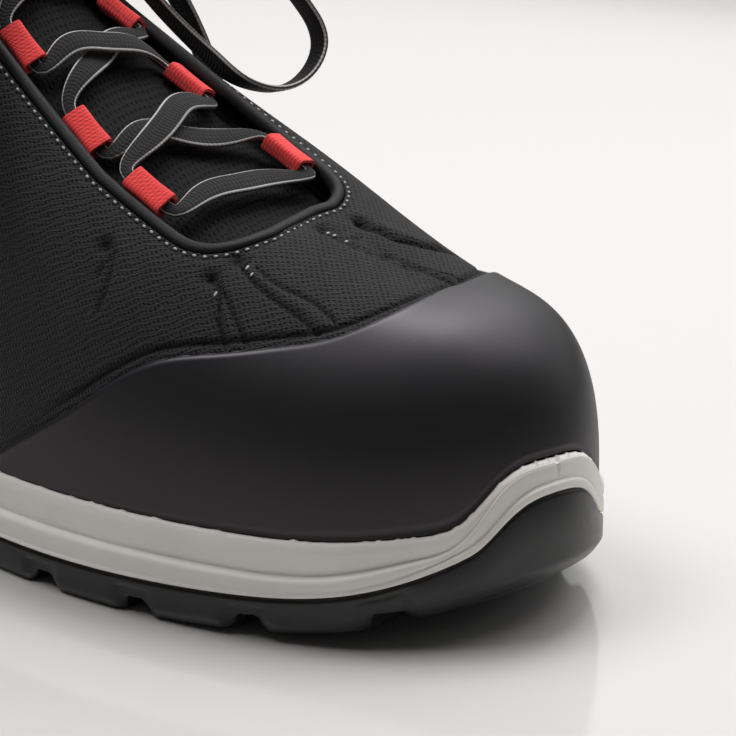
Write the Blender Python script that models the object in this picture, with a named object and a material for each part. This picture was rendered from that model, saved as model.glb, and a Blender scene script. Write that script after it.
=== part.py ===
"""Right-foot sport safety shoe, standing empty on its sole.

The upper, guard, tongue, binding and sole are all read from one function of the last:
a rib rises from the outline to the crest at each station between heel and toe.
Sizes are in millimetres, with x from heel to toe, y towards the medial side and z up.
"""
import math
from collections import namedtuple

import bmesh
import bpy
import numpy as np

MM = 0.001
RIGHT_ANGLE = math.pi / 2

# Driving sizes
LENGTH = 289.1
BALL_WIDTH = 100.0
INSTEP = 99.0
HEEL_COLLAR = 112.0
TOE_SPRING = 9.5
SPRING_START = 190.0
SPRING_POWER = 2.5
HEEL_BACK = 4.2
GAP = 0.3

# Sections of the last: outline points as shares of the length and of the ball width,
# crest points as shares of the length, the ball width and the instep height
Section = namedtuple(
    "Section",
    "lateral_x lateral_y medial_x medial_y crest_x crest_y crest_z lateral_power medial_power",
)
SECTIONS = (
    Section(0.000, 0.000, 0.000, 0.000, 0.199, 0.000, 1.919, 2.20, 2.20),
    Section(0.020, -0.215, 0.020, 0.210, 0.199, 0.000, 1.919, 2.20, 2.20),
    Section(0.075, -0.335, 0.075, 0.325, 0.206, 0.000, 1.919, 2.20, 2.20),
    Section(0.165, -0.380, 0.165, 0.365, 0.233, 0.005, 1.899, 2.25, 2.25),
    Section(0.278, -0.400, 0.278, 0.375, 0.295, 0.010, 1.758, 2.35, 2.35),
    Section(0.399, -0.435, 0.399, 0.395, 0.402, 0.020, 1.475, 2.50, 2.50),
    Section(0.519, -0.485, 0.519, 0.435, 0.519, 0.030, 1.222, 2.50, 2.65),
    Section(0.640, -0.515, 0.640, 0.485, 0.640, 0.040, 1.000, 2.50, 3.30),
    Section(0.750, -0.489, 0.750, 0.484, 0.743, 0.045, 0.857, 2.60, 3.20),
    Section(0.843, -0.422, 0.840, 0.462, 0.815, 0.050, 0.771, 2.65, 2.78),
    Section(0.917, -0.317, 0.910, 0.407, 0.860, 0.055, 0.728, 2.55, 2.80),
    Section(0.970, -0.165, 0.963, 0.303, 0.879, 0.060, 0.716, 2.48, 2.90),
    Section(1.000, 0.080, 1.000, 0.080, 0.886, 0.065, 0.712, 2.45, 2.45),
)

# Stations along the shoe, 0 at the heel and 1 at the toe
THROAT_BACK = 0.330
THROAT_FRONT = 0.732
GUARD_REAR = 0.575
GUARD_FRONT = 0.915
TONGUE_TOP = 0.345
TONGUE_END = 0.765
Span = namedtuple("Span", "start end ribs")
SOLE_SPANS = (
    Span(0.000, 0.060, 3),
    Span(0.060, 0.150, 3),
    Span(0.150, 0.345, 4),
    Span(0.345, 0.575, 5),
    Span(0.575, 0.732, 5),
    Span(0.732, 0.845, 5),
    Span(0.845, 0.915, 4),
    Span(0.915, 1.000, 6),
)
THROAT_SPREAD = 0.060
THROAT_RIBS = 7

# Upper
FLOOR = 17.0
WALL = 2.4
PADDING = 2.4
PADDING_FROM = 0.365
PADDING_REACH = 0.080
PADDING_LOW = 60.0
PADDING_RISE = 25.0
UPPER_ROWS = 7
CollarRow = namedtuple("CollarRow", "station height")
COLLAR = (
    CollarRow(0.000, HEEL_COLLAR),
    CollarRow(0.070, HEEL_COLLAR - 4.0),
    CollarRow(0.160, HEEL_COLLAR - 16.0),
    CollarRow(0.230, HEEL_COLLAR - 20.0),
    CollarRow(0.300, HEEL_COLLAR - 11.0),
    CollarRow(0.360, HEEL_COLLAR + 8.0),
    CollarRow(0.420, HEEL_COLLAR + 36.0),
)
COLLAR_ROUNDING = 18.0
ThroatRow = namedtuple("ThroatRow", "x centre half_width")
THROAT = (
    ThroatRow(90.0, 1.0, 19.0),
    ThroatRow(118.0, 0.5, 21.0),
    ThroatRow(150.0, -0.5, 24.0),
    ThroatRow(185.0, -2.0, 27.0),
    ThroatRow(225.0, -2.5, 27.0),
)
THROAT_END_X = 225.2
THROAT_ROUND = 20.0
THROAT_POWER = 2.6

# Binding along the throat and collar edge
BINDING_WIDTH = 3.0
BINDING_PROUD = 0.5
BINDING_SIDES = 6

# Toe guard, between two offsets of the upper
GUARD_GAP = 0.4
GUARD_THICKNESS = 1.1
GUARD_ROWS = 5
GUARD_REACH = 5.0
GuardRow = namedtuple("GuardRow", "station angle")
GUARD_EDGE = (
    GuardRow(0.575, 4.8),
    GuardRow(0.620, 11.5),
    GuardRow(0.660, 20.0),
    GuardRow(0.700, 30.2),
    GuardRow(0.750, 38.8),
    GuardRow(0.790, 46.5),
    GuardRow(0.820, 54.0),
    GuardRow(0.845, 64.5),
    GuardRow(0.870, 76.0),
    GuardRow(0.895, 86.0),
    GuardRow(0.915, 90.0),
)

# Tongue
TONGUE_DEPTH = 6.6
TONGUE_THICKNESS = 4.0
TONGUE_LAP = 6.0
TONGUE_SHOULDER = 0.30
TONGUE_ROWS = 4
TONGUE_SEAT = (0.728, 0.752)
TONGUE_SEAT_GAP = 0.9
TONGUE_DROP = 1.2
TONGUE_DROP_REACH = 0.100

# Insole
INSOLE_THICKNESS = 4.0
INSOLE_SIDE_GAP = 0.5
INSOLE_ROUND = 0.7

# Heights of the sole's side lines: top of the outsole, ledge and top of the midsole
LineRow = namedtuple("LineRow", "station outsole ledge rim")
SIDE_LINES = (
    LineRow(0.000, 10.5, 18.0, 30.0),
    LineRow(0.120, 10.0, 17.0, 28.6),
    LineRow(0.300, 9.5, 16.0, 26.0),
    LineRow(0.500, 9.2, 15.6, 24.7),
    LineRow(0.690, 9.3, 15.6, 24.3),
    LineRow(0.790, 10.4, 15.8, 24.4),
    LineRow(0.865, 13.0, 17.5, 25.2),
    LineRow(0.913, 17.8, 21.8, 26.9),
    LineRow(0.937, 21.2, 25.4, 29.2),
    LineRow(0.949, 23.6, 30.2, 33.0),
    LineRow(0.961, 27.8, 35.8, 37.3),
    LineRow(0.973, 31.4, 38.8, 40.0),
    LineRow(0.985, 33.2, 39.8, 41.0),
    LineRow(1.000, 33.8, 40.0, 41.2),
)
TOE_PEAK = 0.025
TOE_PEAK_FROM = (0.550, 0.850)
TOE_BLEND = (0.865, 0.985)

# Sole rows from the bottom edge over the top to the inside: the line a height is taken from,
# and the rise above it and offset from the upper, at the sides and at the toe
SoleRow = namedtuple("SoleRow", "line side_rise side_offset toe_rise toe_offset")
PLATE = 7.0
RIM_INSIDE = 2.0
CUP_GAP = 0.4
OUTSOLE_ROWS = (
    SoleRow("base", 0.0, 1.6, 0.0, -6.5),
    SoleRow("base", 1.4, 2.6, 2.6, -0.8),
    SoleRow("base", 3.8, 3.3, 7.0, 2.6),
    SoleRow("outsole", -2.2, 3.5, -8.0, 3.5),
    SoleRow("outsole", 0.0, 3.3, 0.0, 3.3),
    SoleRow("outsole", 0.0, RIM_INSIDE, 0.0, RIM_INSIDE),
    SoleRow("plate", 0.0, RIM_INSIDE, 0.0, RIM_INSIDE),
)
MIDSOLE_ROWS = (
    SoleRow("plate", GAP, RIM_INSIDE - GAP, GAP, RIM_INSIDE - GAP),
    SoleRow("outsole", GAP, RIM_INSIDE - GAP, GAP, RIM_INSIDE - GAP),
    SoleRow("outsole", GAP, 3.5, GAP, 3.2),
    SoleRow("outsole", 1.4, 3.6, 2.2, 3.2),
    SoleRow("outsole", 2.0, 4.1, 2.9, 3.5),
    SoleRow("ledge", -0.9, 4.1, -1.2, 3.4),
    SoleRow("ledge", 0.0, 3.6, 0.0, 3.0),
    SoleRow("ledge", 0.3, 2.9, 0.3, 2.9),
    SoleRow("rim", -0.7, 2.7, -0.5, 2.7),
    SoleRow("rim", 0.0, 2.1, 0.0, 2.2),
    SoleRow("rim", 0.0, 0.9, 0.0, 0.9),
    SoleRow("rim", -0.7, CUP_GAP, -0.5, CUP_GAP),
    SoleRow("cup", 0.0, CUP_GAP, 0.0, CUP_GAP),
    SoleRow("floor", 0.0, CUP_GAP, 0.0, CUP_GAP),
)
HEEL_BEVEL = 2.2
HEEL_BEVEL_LENGTH = 24.0
ARCH_RISE = 3.0
ARCH = (88.0, 108.0, 128.0, 150.0)

# Tread: bent grooves across the outsole and one along it
LUG_HEIGHT = 4.0
GROOVES_X = (30.0, 57.0, 84.0, 159.0, 186.0, 213.0, 240.0, 267.0)
GROOVE_WIDTH = 4.6
GROOVE_FLARE = 2.6
GROOVE_BEND = 9.0
GROOVE_REACH = 75.0
CENTRE_GROOVE = (62.0, 12.0, 268.0)
CENTRE_GROOVE_WIDTH = 5.0

# Webbing loops and laces
LoopRow = namedtuple("LoopRow", "lateral medial sink")
LOOPS = (
    LoopRow(195.0, 203.0, 1.6),
    LoopRow(173.0, 174.0, 4.6),
    LoopRow(150.0, 151.0, 3.6),
    LoopRow(129.0, 129.0, 3.2),
)
LOOP_LENGTH = 11.5
LOOP_REACH = 6.4
LOOP_HEIGHT = 4.4
LOOP_WEB = 0.75
LOOP_SIDES = 10
LACE_WIDTH = 6.6
LACE_BUNCHED = 3.0
LACE_PINCHED = 3.0
LACE_OPENS = 16.0
LACE_THICKNESS = 1.5
LACE_STEP = 4.8
LACE_PASS = (-1.5, -0.6, 0.6, 1.5)
LACE_CROSSING = ((0.20, 0.5, 5.6), (0.50, 1.0, LACE_WIDTH), (0.80, 0.5, 5.6))
LACE_REST = -2.0
LACE_OVER = 1.4
LACE_UNDER = -1.4
KNOT_X = 112.0
KNOT_SIZE = (13.0, 16.0, 9.0)
KNOT_LIFT = -1.6
KNOT_CLEAR = 1.1
STRAND_CLEAR = 1.6
KNOT_TURN = 75.0
KNOT_SECTIONS = 8
KNOT_SIDES = 10

# Free lace: whether it comes back to the knot, the direction its flat side is wide in, and its route
Cord = namedtuple("Cord", "returns wide points")
CORDS = {
    "bow_loop_medial": Cord(True, (1.0, -0.2, 0.3), (
        (124.0, 9.0, 149.0), (138.0, 19.0, 138.0), (154.0, 26.5, 119.0), (167.9, 29.5, 107.4),
        (179.0, 31.5, 101.4), (184.0, 39.0, 99.6), (186.8, 46.0, 103.4), (186.5, 50.0, 110.0),
        (182.0, 48.0, 119.5), (170.0, 41.0, 137.0), (150.0, 28.0, 153.0), (124.0, 10.0, 160.0),
    )),
    "lace_end_medial": Cord(False, (1.0, 0.1, 0.2), (
        (117.0, 13.0, 154.0), (132.0, 26.0, 146.0), (144.0, 36.0, 128.0), (149.5, 41.0, 115.0),
        (151.5, 46.5, 102.0), (152.5, 52.0, 84.0), (152.5, 54.5, 68.0), (152.0, 55.5, 52.0),
    )),
    "bow_loop_lateral": Cord(True, (0.8, 0.4, 0.4), (
        (124.0, -6.0, 149.0), (138.0, -18.0, 140.0), (150.0, -32.0, 124.0), (157.0, -43.0, 112.0),
        (157.0, -52.0, 105.0), (150.0, -57.0, 107.0), (141.0, -53.0, 119.0), (133.0, -40.0, 139.0),
        (127.0, -22.0, 155.0), (122.0, -7.0, 160.0),
    )),
    "lace_end_lateral": Cord(False, (1.0, -0.1, 0.2), (
        (114.0, -10.0, 154.0), (118.0, -23.0, 146.0), (124.0, -36.0, 129.0), (128.0, -45.0, 112.0),
        (130.0, -51.5, 94.0), (131.0, -54.5, 76.0), (131.0, -55.5, 60.0),
    )),
}
CORD_STEP = 5.0

Paint = namedtuple("Paint", "red green blue roughness metallic")
PAINTS = {
    "knit": Paint(0.012, 0.012, 0.013, 0.95, 0.0),
    "guard": Paint(0.022, 0.022, 0.025, 0.42, 0.0),
    "foam": Paint(0.46, 0.45, 0.43, 0.55, 0.0),
    "rubber": Paint(0.010, 0.010, 0.011, 0.45, 0.0),
    "binding": Paint(0.035, 0.034, 0.040, 0.50, 0.0),
    "webbing": Paint(0.72, 0.035, 0.030, 0.80, 0.0),
    "lace": Paint(0.014, 0.014, 0.015, 0.85, 0.0),
    "lining": Paint(0.030, 0.030, 0.032, 0.95, 0.0),
}


def second_derivatives(knots, values):
    """Second derivatives of the natural cubic spline through the values."""
    count = len(knots)
    steps = np.diff(knots)
    matrix = np.eye(count)
    right = np.zeros_like(values)
    for i in range(1, count - 1):
        matrix[i, i - 1:i + 2] = steps[i - 1], 2 * (steps[i - 1] + steps[i]), steps[i]
        right[i] = 6 * ((values[i + 1] - values[i]) / steps[i] - (values[i] - values[i - 1]) / steps[i - 1])
    return np.linalg.solve(matrix, right)


class Spline:
    """Natural cubic spline through rows of values."""

    def __init__(self, knots, values):
        self.knots = np.array(knots, float)
        self.values = np.array(values, float)
        self.bends = second_derivatives(self.knots, self.values)

    def __call__(self, at):
        last = len(self.knots) - 2
        i = int(np.clip(np.searchsorted(self.knots, at, side="right") - 1, 0, last))
        step = self.knots[i + 1] - self.knots[i]
        a = self.knots[i + 1] - at
        b = at - self.knots[i]
        curve = (self.bends[i] * a ** 3 + self.bends[i + 1] * b ** 3) / (6 * step)
        low = (self.values[i] / step - self.bends[i] * step / 6) * a
        high = (self.values[i + 1] / step - self.bends[i + 1] * step / 6) * b
        return curve + low + high


def table_spline(rows):
    """Spline of a table's columns over its first column."""
    table = np.array(rows, float)
    return Spline(table[:, 0], table[:, 1:])


def last_spline():
    """Closed spline of the sections: lateral ribs at 0 to 1, medial ribs at 2 to 1."""
    scale = np.array((LENGTH, BALL_WIDTH, LENGTH, BALL_WIDTH, INSTEP, 1.0))
    shift = np.array((HEEL_BACK, 0.0, HEEL_BACK, 0.0, 0.0, 0.0))
    table = np.array(SECTIONS, float)
    lateral = table[:, (0, 1, 4, 5, 6, 7)] * scale + shift
    medial = table[:, (2, 3, 4, 5, 6, 8)] * scale + shift
    chords = [np.hypot(*np.diff(side[:, :2], axis=0).T) for side in (lateral, medial)]
    steps = (chords[0] + chords[1]) / (chords[0] + chords[1]).sum()
    around = np.concatenate((steps, steps[::-1]))
    loop = np.vstack((lateral, medial[1:-1][::-1]))
    pad = 5
    values = np.vstack((loop[-pad:], loop, loop[:pad + 1]))
    spans = np.concatenate((around[-pad:], around, around[:pad]))
    knots = np.concatenate(((0.0,), np.cumsum(spans))) - around[-pad:].sum()
    return Spline(knots, values)


RIBS = last_spline()
SIDES = {"lateral": 1, "medial": -1}
LINES = table_spline(SIDE_LINES)
COLLAR_CURVE = table_spline(COLLAR)
GUARD_CURVE = table_spline(GUARD_EDGE)
THROAT_TABLE = np.array(THROAT, float)


def smooth(value):
    """Ease from 0 to 1."""
    share = min(max(value, 0.0), 1.0)
    return share * share * (3 - 2 * share)


def unit(vector):
    return np.asarray(vector) / np.linalg.norm(vector)


def solve(function, low, high):
    """Where a falling function crosses zero, by halving."""
    for _ in range(40):
        middle = (low + high) / 2
        if function(middle) > 0:
            low = middle
        else:
            high = middle
    return (low + high) / 2


def spring(x):
    """Rise of the sole towards the toe."""
    share = (x - SPRING_START) / (HEEL_BACK + LENGTH - SPRING_START)
    return TOE_SPRING * max(share, 0.0) ** SPRING_POWER


def around(side, station):
    """Place on the closed spline of one side's station."""
    return station if side == "lateral" else 2.0 - station


def rib_point(place, angle):
    """Point of the last at an angle up the rib."""
    foot_x, foot_y, crest_x, crest_y, crest_z, power = RIBS(place)
    low = FLOOR + spring(foot_x)
    out = max(math.cos(angle), 0.0) ** (2 / power)
    rise = max(math.sin(angle), 0.0) ** (2 / power)
    return np.array((
        crest_x + (foot_x - crest_x) * out,
        crest_y + (foot_y - crest_y) * out,
        low + (crest_z - low) * rise,
    ))


def normal(side, station, angle):
    """Outward normal of the last."""
    crest_limit = math.radians(86)
    if angle > math.radians(88):
        both = [normal(each, station, crest_limit) for each in SIDES]
        return unit(both[0] + both[1])
    place = around(side, station)
    along = rib_point(place + 0.004, angle) - rib_point(place - 0.004, angle)
    upward = rib_point(place, min(angle + 0.02, RIGHT_ANGLE)) - rib_point(place, max(angle - 0.02, 0.0))
    return unit(np.cross(along, upward))


def surface(side, station, angle, offset=0.0):
    """Point of the last, moved out along its normal."""
    return rib_point(around(side, station), angle) + normal(side, station, angle) * offset


def angle_at_height(side, station, height):
    """Angle up the rib where it reaches a height."""
    foot_x, _, _, _, crest_z, power = RIBS(around(side, station))
    low = FLOOR + spring(foot_x)
    share = min(max((height - low) / (crest_z - low), 0.0), 1.0)
    return math.asin(share ** (power / 2))


def outline_normal(side, station):
    """Outward normal of the outline, seen from above."""
    place = around(side, station)
    along = (RIBS(place + 0.004) - RIBS(place - 0.004))[:2]
    return unit((along[1], -along[0], 0.0))


def beside(side, station, height, offset):
    """Point level with a height, offset sideways from the last."""
    angle = angle_at_height(side, station, height)
    point = rib_point(around(side, station), angle)
    point[2] = height
    return point + outline_normal(side, station) * offset


def throat_half_width(x):
    """Half-width of the throat opening, rounded at its front."""
    width = np.interp(x, THROAT_TABLE[:, 0], THROAT_TABLE[:, 2])
    share = (x - (THROAT_END_X - THROAT_ROUND)) / THROAT_ROUND
    if share <= 0:
        return width
    return width * max(1 - share ** THROAT_POWER, 0.0) ** (1 / THROAT_POWER)


def angle_across(side, station, half_width):
    """Angle up the rib where it comes within a half-width of the throat's centre line."""
    place = around(side, station)

    def outside(angle):
        point = rib_point(place, angle)
        centre = np.interp(point[0], THROAT_TABLE[:, 0], THROAT_TABLE[:, 1])
        return abs(point[1] - centre) - half_width(point[0])

    if outside(RIGHT_ANGLE) >= 0:
        return RIGHT_ANGLE
    return solve(outside, 0.0, RIGHT_ANGLE)


def top_angle(side, station):
    """Angle of the upper's edge: collar behind, throat in the middle, crest in front."""
    if station >= THROAT_FRONT:
        return RIGHT_ANGLE
    collar = angle_at_height(side, station, COLLAR_CURVE(min(station, COLLAR[-1].station))[0])
    if station < THROAT_BACK:
        return collar
    throat = angle_across(side, station, throat_half_width)
    if station > COLLAR[-1].station:
        return throat
    nearer = min(throat, collar)
    excess = sum(math.exp(-COLLAR_ROUNDING * (angle - nearer)) for angle in (throat, collar))
    return nearer - math.log(excess) / COLLAR_ROUNDING


def guard_angle(side, station):
    """Angle of the guard's upper edge."""
    if station >= GUARD_FRONT:
        return RIGHT_ANGLE
    return math.radians(GUARD_CURVE(station)[0])


def line_station(side, station):
    """Station of the sole's side lines, whose peak lies lateral of the toe's tip."""
    start, end = TOE_PEAK_FROM
    peak = 1.0 - TOE_PEAK * smooth((station - start) / (end - start))
    return 1.0 - abs(around(side, station) - peak)


def rim_angle(side, station):
    """Angle just above the midsole's rim."""
    return angle_at_height(side, station, LINES(line_station(side, station))[2] + GAP)


def wall(side, station, angle):
    """Thickness of the upper, with padding at the collar."""
    height = rib_point(around(side, station), angle)[2]
    back = smooth((PADDING_FROM - station) / PADDING_REACH)
    return WALL + PADDING * back * smooth((height - PADDING_LOW) / PADDING_RISE)


def station_at_crest(x):
    """Station whose crest lies at x."""
    return solve(lambda station: x - RIBS(station)[2], 0.2, 1.0)


def over(x, y, lift):
    """Point above the instep, with the last's normal there."""
    station = station_at_crest(x)
    crest_y = RIBS(station)[3]
    side = "lateral" if y < crest_y else "medial"
    place = around(side, station)
    angle = solve(lambda a: abs(rib_point(place, a)[1] - crest_y) - abs(y - crest_y), 0.0, RIGHT_ANGLE)
    out = normal(side, station, angle)
    return rib_point(place, angle) + out * lift, out


def span_stations(spans):
    """Stations of consecutive spans."""
    stations = [spans[0].start]
    for span in spans:
        stations.extend(np.linspace(span.start, span.end, span.ribs + 1)[1:])
    return stations


def upper_stations():
    """Sole stations, with the ribs ahead of the guard's rear gathered at the throat's front."""
    kept = [s for s in span_stations(SOLE_SPANS) if s < THROAT_FRONT - THROAT_SPREAD or s > THROAT_FRONT]
    front = [THROAT_FRONT - THROAT_SPREAD * (k / THROAT_RIBS) ** 2 for k in range(THROAT_RIBS + 1)]
    return sorted(kept + front)


SOLE_STATIONS = span_stations(SOLE_SPANS)
UPPER_STATIONS = upper_stations()


def ring_places(stations):
    """Side and station of each rib round the shoe, from the heel along the lateral side."""
    lateral = [("lateral", s) for s in stations]
    medial = [("medial", s) for s in stations[-2:0:-1]]
    return lateral + medial


def sole_centre():
    """Middle of the sole's box, which stands over the origin."""
    widest = max(row.side_offset for row in MIDSOLE_ROWS)
    toe = max(row.toe_offset for row in OUTSOLE_ROWS)
    points = [beside(side, s, 0.0, widest) for side, s in ring_places(SOLE_STATIONS)]
    low = np.min(points, axis=0)
    high = np.max(points, axis=0)
    front = beside("lateral", 1.0, 0.0, toe)[0]
    return np.array(((low[0] + front) / 2, (low[1] + high[1]) / 2, 0.0))


CENTRE = sole_centre()


def material(name):
    """Principled material of a named paint."""
    found = bpy.data.materials.get(name)
    if found:
        return found
    paint = PAINTS[name]
    made = bpy.data.materials.new(name)
    made.use_nodes = True
    shader = made.node_tree.nodes["Principled BSDF"]
    shader.inputs["Base Color"].default_value = (paint.red, paint.green, paint.blue, 1.0)
    shader.inputs["Roughness"].default_value = paint.roughness
    shader.inputs["Metallic"].default_value = paint.metallic
    return made


def add_object(name, bm, paint):
    """Object of a finished bmesh, smooth but for its sharp edges."""
    bmesh.ops.recalc_face_normals(bm, faces=bm.faces)
    mesh = bpy.data.meshes.new(name)
    bm.to_mesh(mesh)
    bm.free()
    mesh.shade_smooth()
    mesh.set_sharp_from_angle(angle=math.radians(40))
    mesh.materials.append(material(paint))
    made = bpy.data.objects.new(name, mesh)
    bpy.context.collection.objects.link(made)
    return made


def vertex(bm, point):
    return bm.verts.new(tuple((np.asarray(point) - CENTRE) * MM))


def bridge(bm, first, second):
    """Faces between two closed loops of vertices."""
    count = len(first)
    for i in range(count):
        j = (i + 1) % count
        bm.faces.new((first[i], first[j], second[j], second[i]))


def across(bm, loop):
    """Faces across a loop round the shoe, one strip for each pair of ribs."""
    half = len(loop) // 2
    for i in range(half):
        corners = [loop[i], loop[i + 1], loop[-(i + 1)], loop[-i]]
        bm.faces.new(list(dict.fromkeys(corners)))


def ring_body(name, loops, paint):
    """Closed body through loops round the shoe, covered across its first and last loop."""
    bm = bmesh.new()
    rings = [[vertex(bm, point) for point in loop] for loop in loops]
    for first, second in zip(rings, rings[1:]):
        bridge(bm, first, second)
    across(bm, rings[0])
    across(bm, rings[-1])
    return add_object(name, bm, paint)


def shell(name, paint, stations, rows, low, high, outer, inner):
    """Closed shell over part of the last, between two angles up each rib and two offsets."""
    bm = bmesh.new()
    layers = ({}, {})

    def key(side, i, j):
        at_end = stations[i] in (0.0, 1.0)
        at_crest = j == rows and high(side, stations[i]) >= RIGHT_ANGLE
        return ("lateral" if at_end or at_crest else side, i, j)

    def corner(layer, offset, side, i, j):
        name_of = key(side, i, j)
        if name_of not in layer:
            start = low(side, stations[i])
            angle = start + (high(side, stations[i]) - start) * j / rows
            layer[name_of] = vertex(bm, surface(side, stations[i], angle, offset(side, stations[i], angle)))
        return layer[name_of]

    for side in SIDES:
        for i in range(len(stations) - 1):
            for j in range(rows):
                cell = ((i, j), (i + 1, j), (i + 1, j + 1), (i, j + 1))
                for layer, offset in zip(layers, (outer, inner)):
                    bm.faces.new([corner(layer, offset, side, *spot) for spot in cell])
    inside = {layers[0][name_of]: layers[1][name_of] for name_of in layers[0]}
    rim = [edge for edge in bm.edges if len(edge.link_faces) == 1 and edge.verts[0] in inside]
    for edge in rim:
        first, second = edge.verts
        bm.faces.new((first, second, inside[second], inside[first]))
    return add_object(name, bm, paint)


def swept(name, paint, sections, closed=False):
    """Body through a row of equal sections, capped at its ends or closed on itself."""
    bm = bmesh.new()
    rings = [[vertex(bm, point) for point in section] for section in sections]
    for first, second in zip(rings, rings[1:]):
        bridge(bm, first, second)
    if closed:
        bridge(bm, rings[-1], rings[0])
    else:
        bm.faces.new(rings[0])
        bm.faces.new(rings[-1])
    return add_object(name, bm, paint)


def oval(centre, first, second, sides):
    """Points round an oval with two given half-axes."""
    turns = [2 * math.pi * (k + 0.5) / sides for k in range(sides)]
    return [centre + first * math.cos(turn) + second * math.sin(turn) for turn in turns]


def base_height(x):
    """Underside of the sole: heel bevel, arch and toe spring."""
    bevel = HEEL_BEVEL * max((HEEL_BEVEL_LENGTH - x) / HEEL_BEVEL_LENGTH, 0.0) ** 2
    arch = smooth((x - ARCH[0]) / (ARCH[1] - ARCH[0])) * smooth((ARCH[3] - x) / (ARCH[3] - ARCH[2]))
    return bevel + ARCH_RISE * arch + spring(x)


def sole_height(line, side, station):
    """Height of a named line of the sole at a station."""
    x = RIBS(around(side, station))[0]
    outsole, ledge, rim = LINES(line_station(side, station))
    heights = {
        "base": base_height(x),
        "plate": PLATE + spring(x),
        "floor": FLOOR + spring(x),
        "cup": (FLOOR + spring(x) + rim) / 2,
        "outsole": outsole,
        "ledge": ledge,
        "rim": rim,
    }
    return heights[line]


def sole_loops(rows):
    """Loops round the sole, one for each row of a table."""
    loops = []
    for row in rows:
        loop = []
        for side, station in ring_places(SOLE_STATIONS):
            start, end = TOE_BLEND
            toe = smooth((line_station(side, station) - start) / (end - start))
            rise = row.side_rise + (row.toe_rise - row.side_rise) * toe
            offset = row.side_offset + (row.toe_offset - row.side_offset) * toe
            loop.append(beside(side, station, sole_height(row.line, side, station) + rise, offset))
        loops.append(loop)
    return loops


def groove_section(x, y, along, width):
    """Section of a groove: wide below the tread and narrow at its root."""
    root = LUG_HEIGHT + spring(x)
    mouth = spring(x) - LUG_HEIGHT
    half = np.asarray(along) * width / 2
    flare = np.asarray(along) * (width / 2 + GROOVE_FLARE)
    centre = np.array((x, y, 0.0))
    top = np.array((0.0, 0.0, root))
    low = np.array((0.0, 0.0, mouth))
    return [centre + top - half, centre + top + half, centre + low + flare, centre + low - flare]


def groove_cutters():
    """Wire cutters for the tread's grooves."""
    cutters = []
    for number, x in enumerate(GROOVES_X):
        sections = []
        for share in (-1.0, -0.4, 0.0, 0.4, 1.0):
            bent = x + GROOVE_BEND * (1 - abs(share))
            sections.append(groove_section(bent, share * GROOVE_REACH, (1.0, 0.0, 0.0), GROOVE_WIDTH))
        cutters.append(swept(f"groove_cutter_{number}", "rubber", sections))
    start, step, end = CENTRE_GROOVE
    places = np.arange(start, end + step, step)
    sections = [groove_section(x, 0.0, (0.0, 1.0, 0.0), CENTRE_GROOVE_WIDTH) for x in places]
    cutters.append(swept("centre_groove_cutter", "rubber", sections))
    return cutters


def build_outsole():
    outsole = ring_body("outsole", sole_loops(OUTSOLE_ROWS), "rubber")
    for cutter in groove_cutters():
        cut(outsole, cutter, "DIFFERENCE")


def build_midsole():
    ring_body("midsole", sole_loops(MIDSOLE_ROWS), "foam")


def build_insole():
    inset = -(WALL + INSOLE_SIDE_GAP)
    rows = (
        SoleRow("floor", GAP, inset, GAP, inset),
        SoleRow("floor", INSOLE_THICKNESS - INSOLE_ROUND, inset, INSOLE_THICKNESS - INSOLE_ROUND, inset),
        SoleRow("floor", INSOLE_THICKNESS, inset - INSOLE_ROUND, INSOLE_THICKNESS, inset - INSOLE_ROUND),
    )
    ring_body("insole", sole_loops(rows), "lining")


def foot_angle(side, station):
    """Angle of the upper's lower edge, just above the midsole's floor."""
    x = RIBS(around(side, station))[0]
    return angle_at_height(side, station, FLOOR + spring(x) + GAP)


def build_upper():
    def inside(side, station, angle):
        return -wall(side, station, angle)

    shell("upper", "knit", UPPER_STATIONS, UPPER_ROWS, foot_angle, top_angle, lambda *_: 0.0, inside)


def as_cutter(made):
    """Leave an object out of the part, as a wire shape that only cuts."""
    made.hide_render = True
    made.display_type = "WIRE"
    return made


def cut(body, cutter, operation):
    """Boolean of a body with a cutter."""
    step = body.modifiers.new(cutter.name, "BOOLEAN")
    step.operation = operation
    step.solver = "EXACT"
    step.object = as_cutter(cutter)


def build_guard():
    """Skin over the upper's front, cut out between the midsole's rim and the guard's edge."""
    ahead = [s for s in UPPER_STATIONS if s >= GUARD_REAR]
    behind = max(s for s in UPPER_STATIONS if s < GUARD_REAR)
    skin = shell("toe_guard", "guard", [behind] + ahead, UPPER_ROWS, foot_angle, top_angle,
                 lambda *_: GUARD_GAP + GUARD_THICKNESS, lambda *_: GUARD_GAP)
    block = shell("guard_cutter", "guard", ahead, GUARD_ROWS, rim_angle, guard_angle,
                  lambda *_: GUARD_REACH, lambda *_: -GUARD_REACH)
    cut(skin, block, "INTERSECT")


def build_tongue():
    stations = [s for s in UPPER_STATIONS if TONGUE_TOP <= s < TONGUE_END] + [TONGUE_END]

    def half_width(x):
        return np.interp(x, THROAT_TABLE[:, 0], THROAT_TABLE[:, 2]) + TONGUE_LAP

    def edge(side, station):
        return angle_across(side, station, half_width)

    def outer(side, station, angle):
        start, end = TONGUE_SEAT
        free = 1 - smooth((station - start) / (end - start))
        low = edge(side, station)
        drop = TONGUE_DROP * (1 - smooth((station - TONGUE_TOP) / TONGUE_DROP_REACH))
        seat = wall(side, station, low) + TONGUE_SEAT_GAP + drop
        sunk = smooth((angle - low) / (RIGHT_ANGLE - low) / TONGUE_SHOULDER)
        return -(seat + (TONGUE_DEPTH - seat) * free * sunk)

    def inner(side, station, angle):
        return outer(side, station, angle) - TONGUE_THICKNESS

    shell("tongue", "lining", stations, TONGUE_ROWS, edge, lambda *_: RIGHT_ANGLE, outer, inner)


Edge = namedtuple("Edge", "point out along inward wall")


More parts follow.
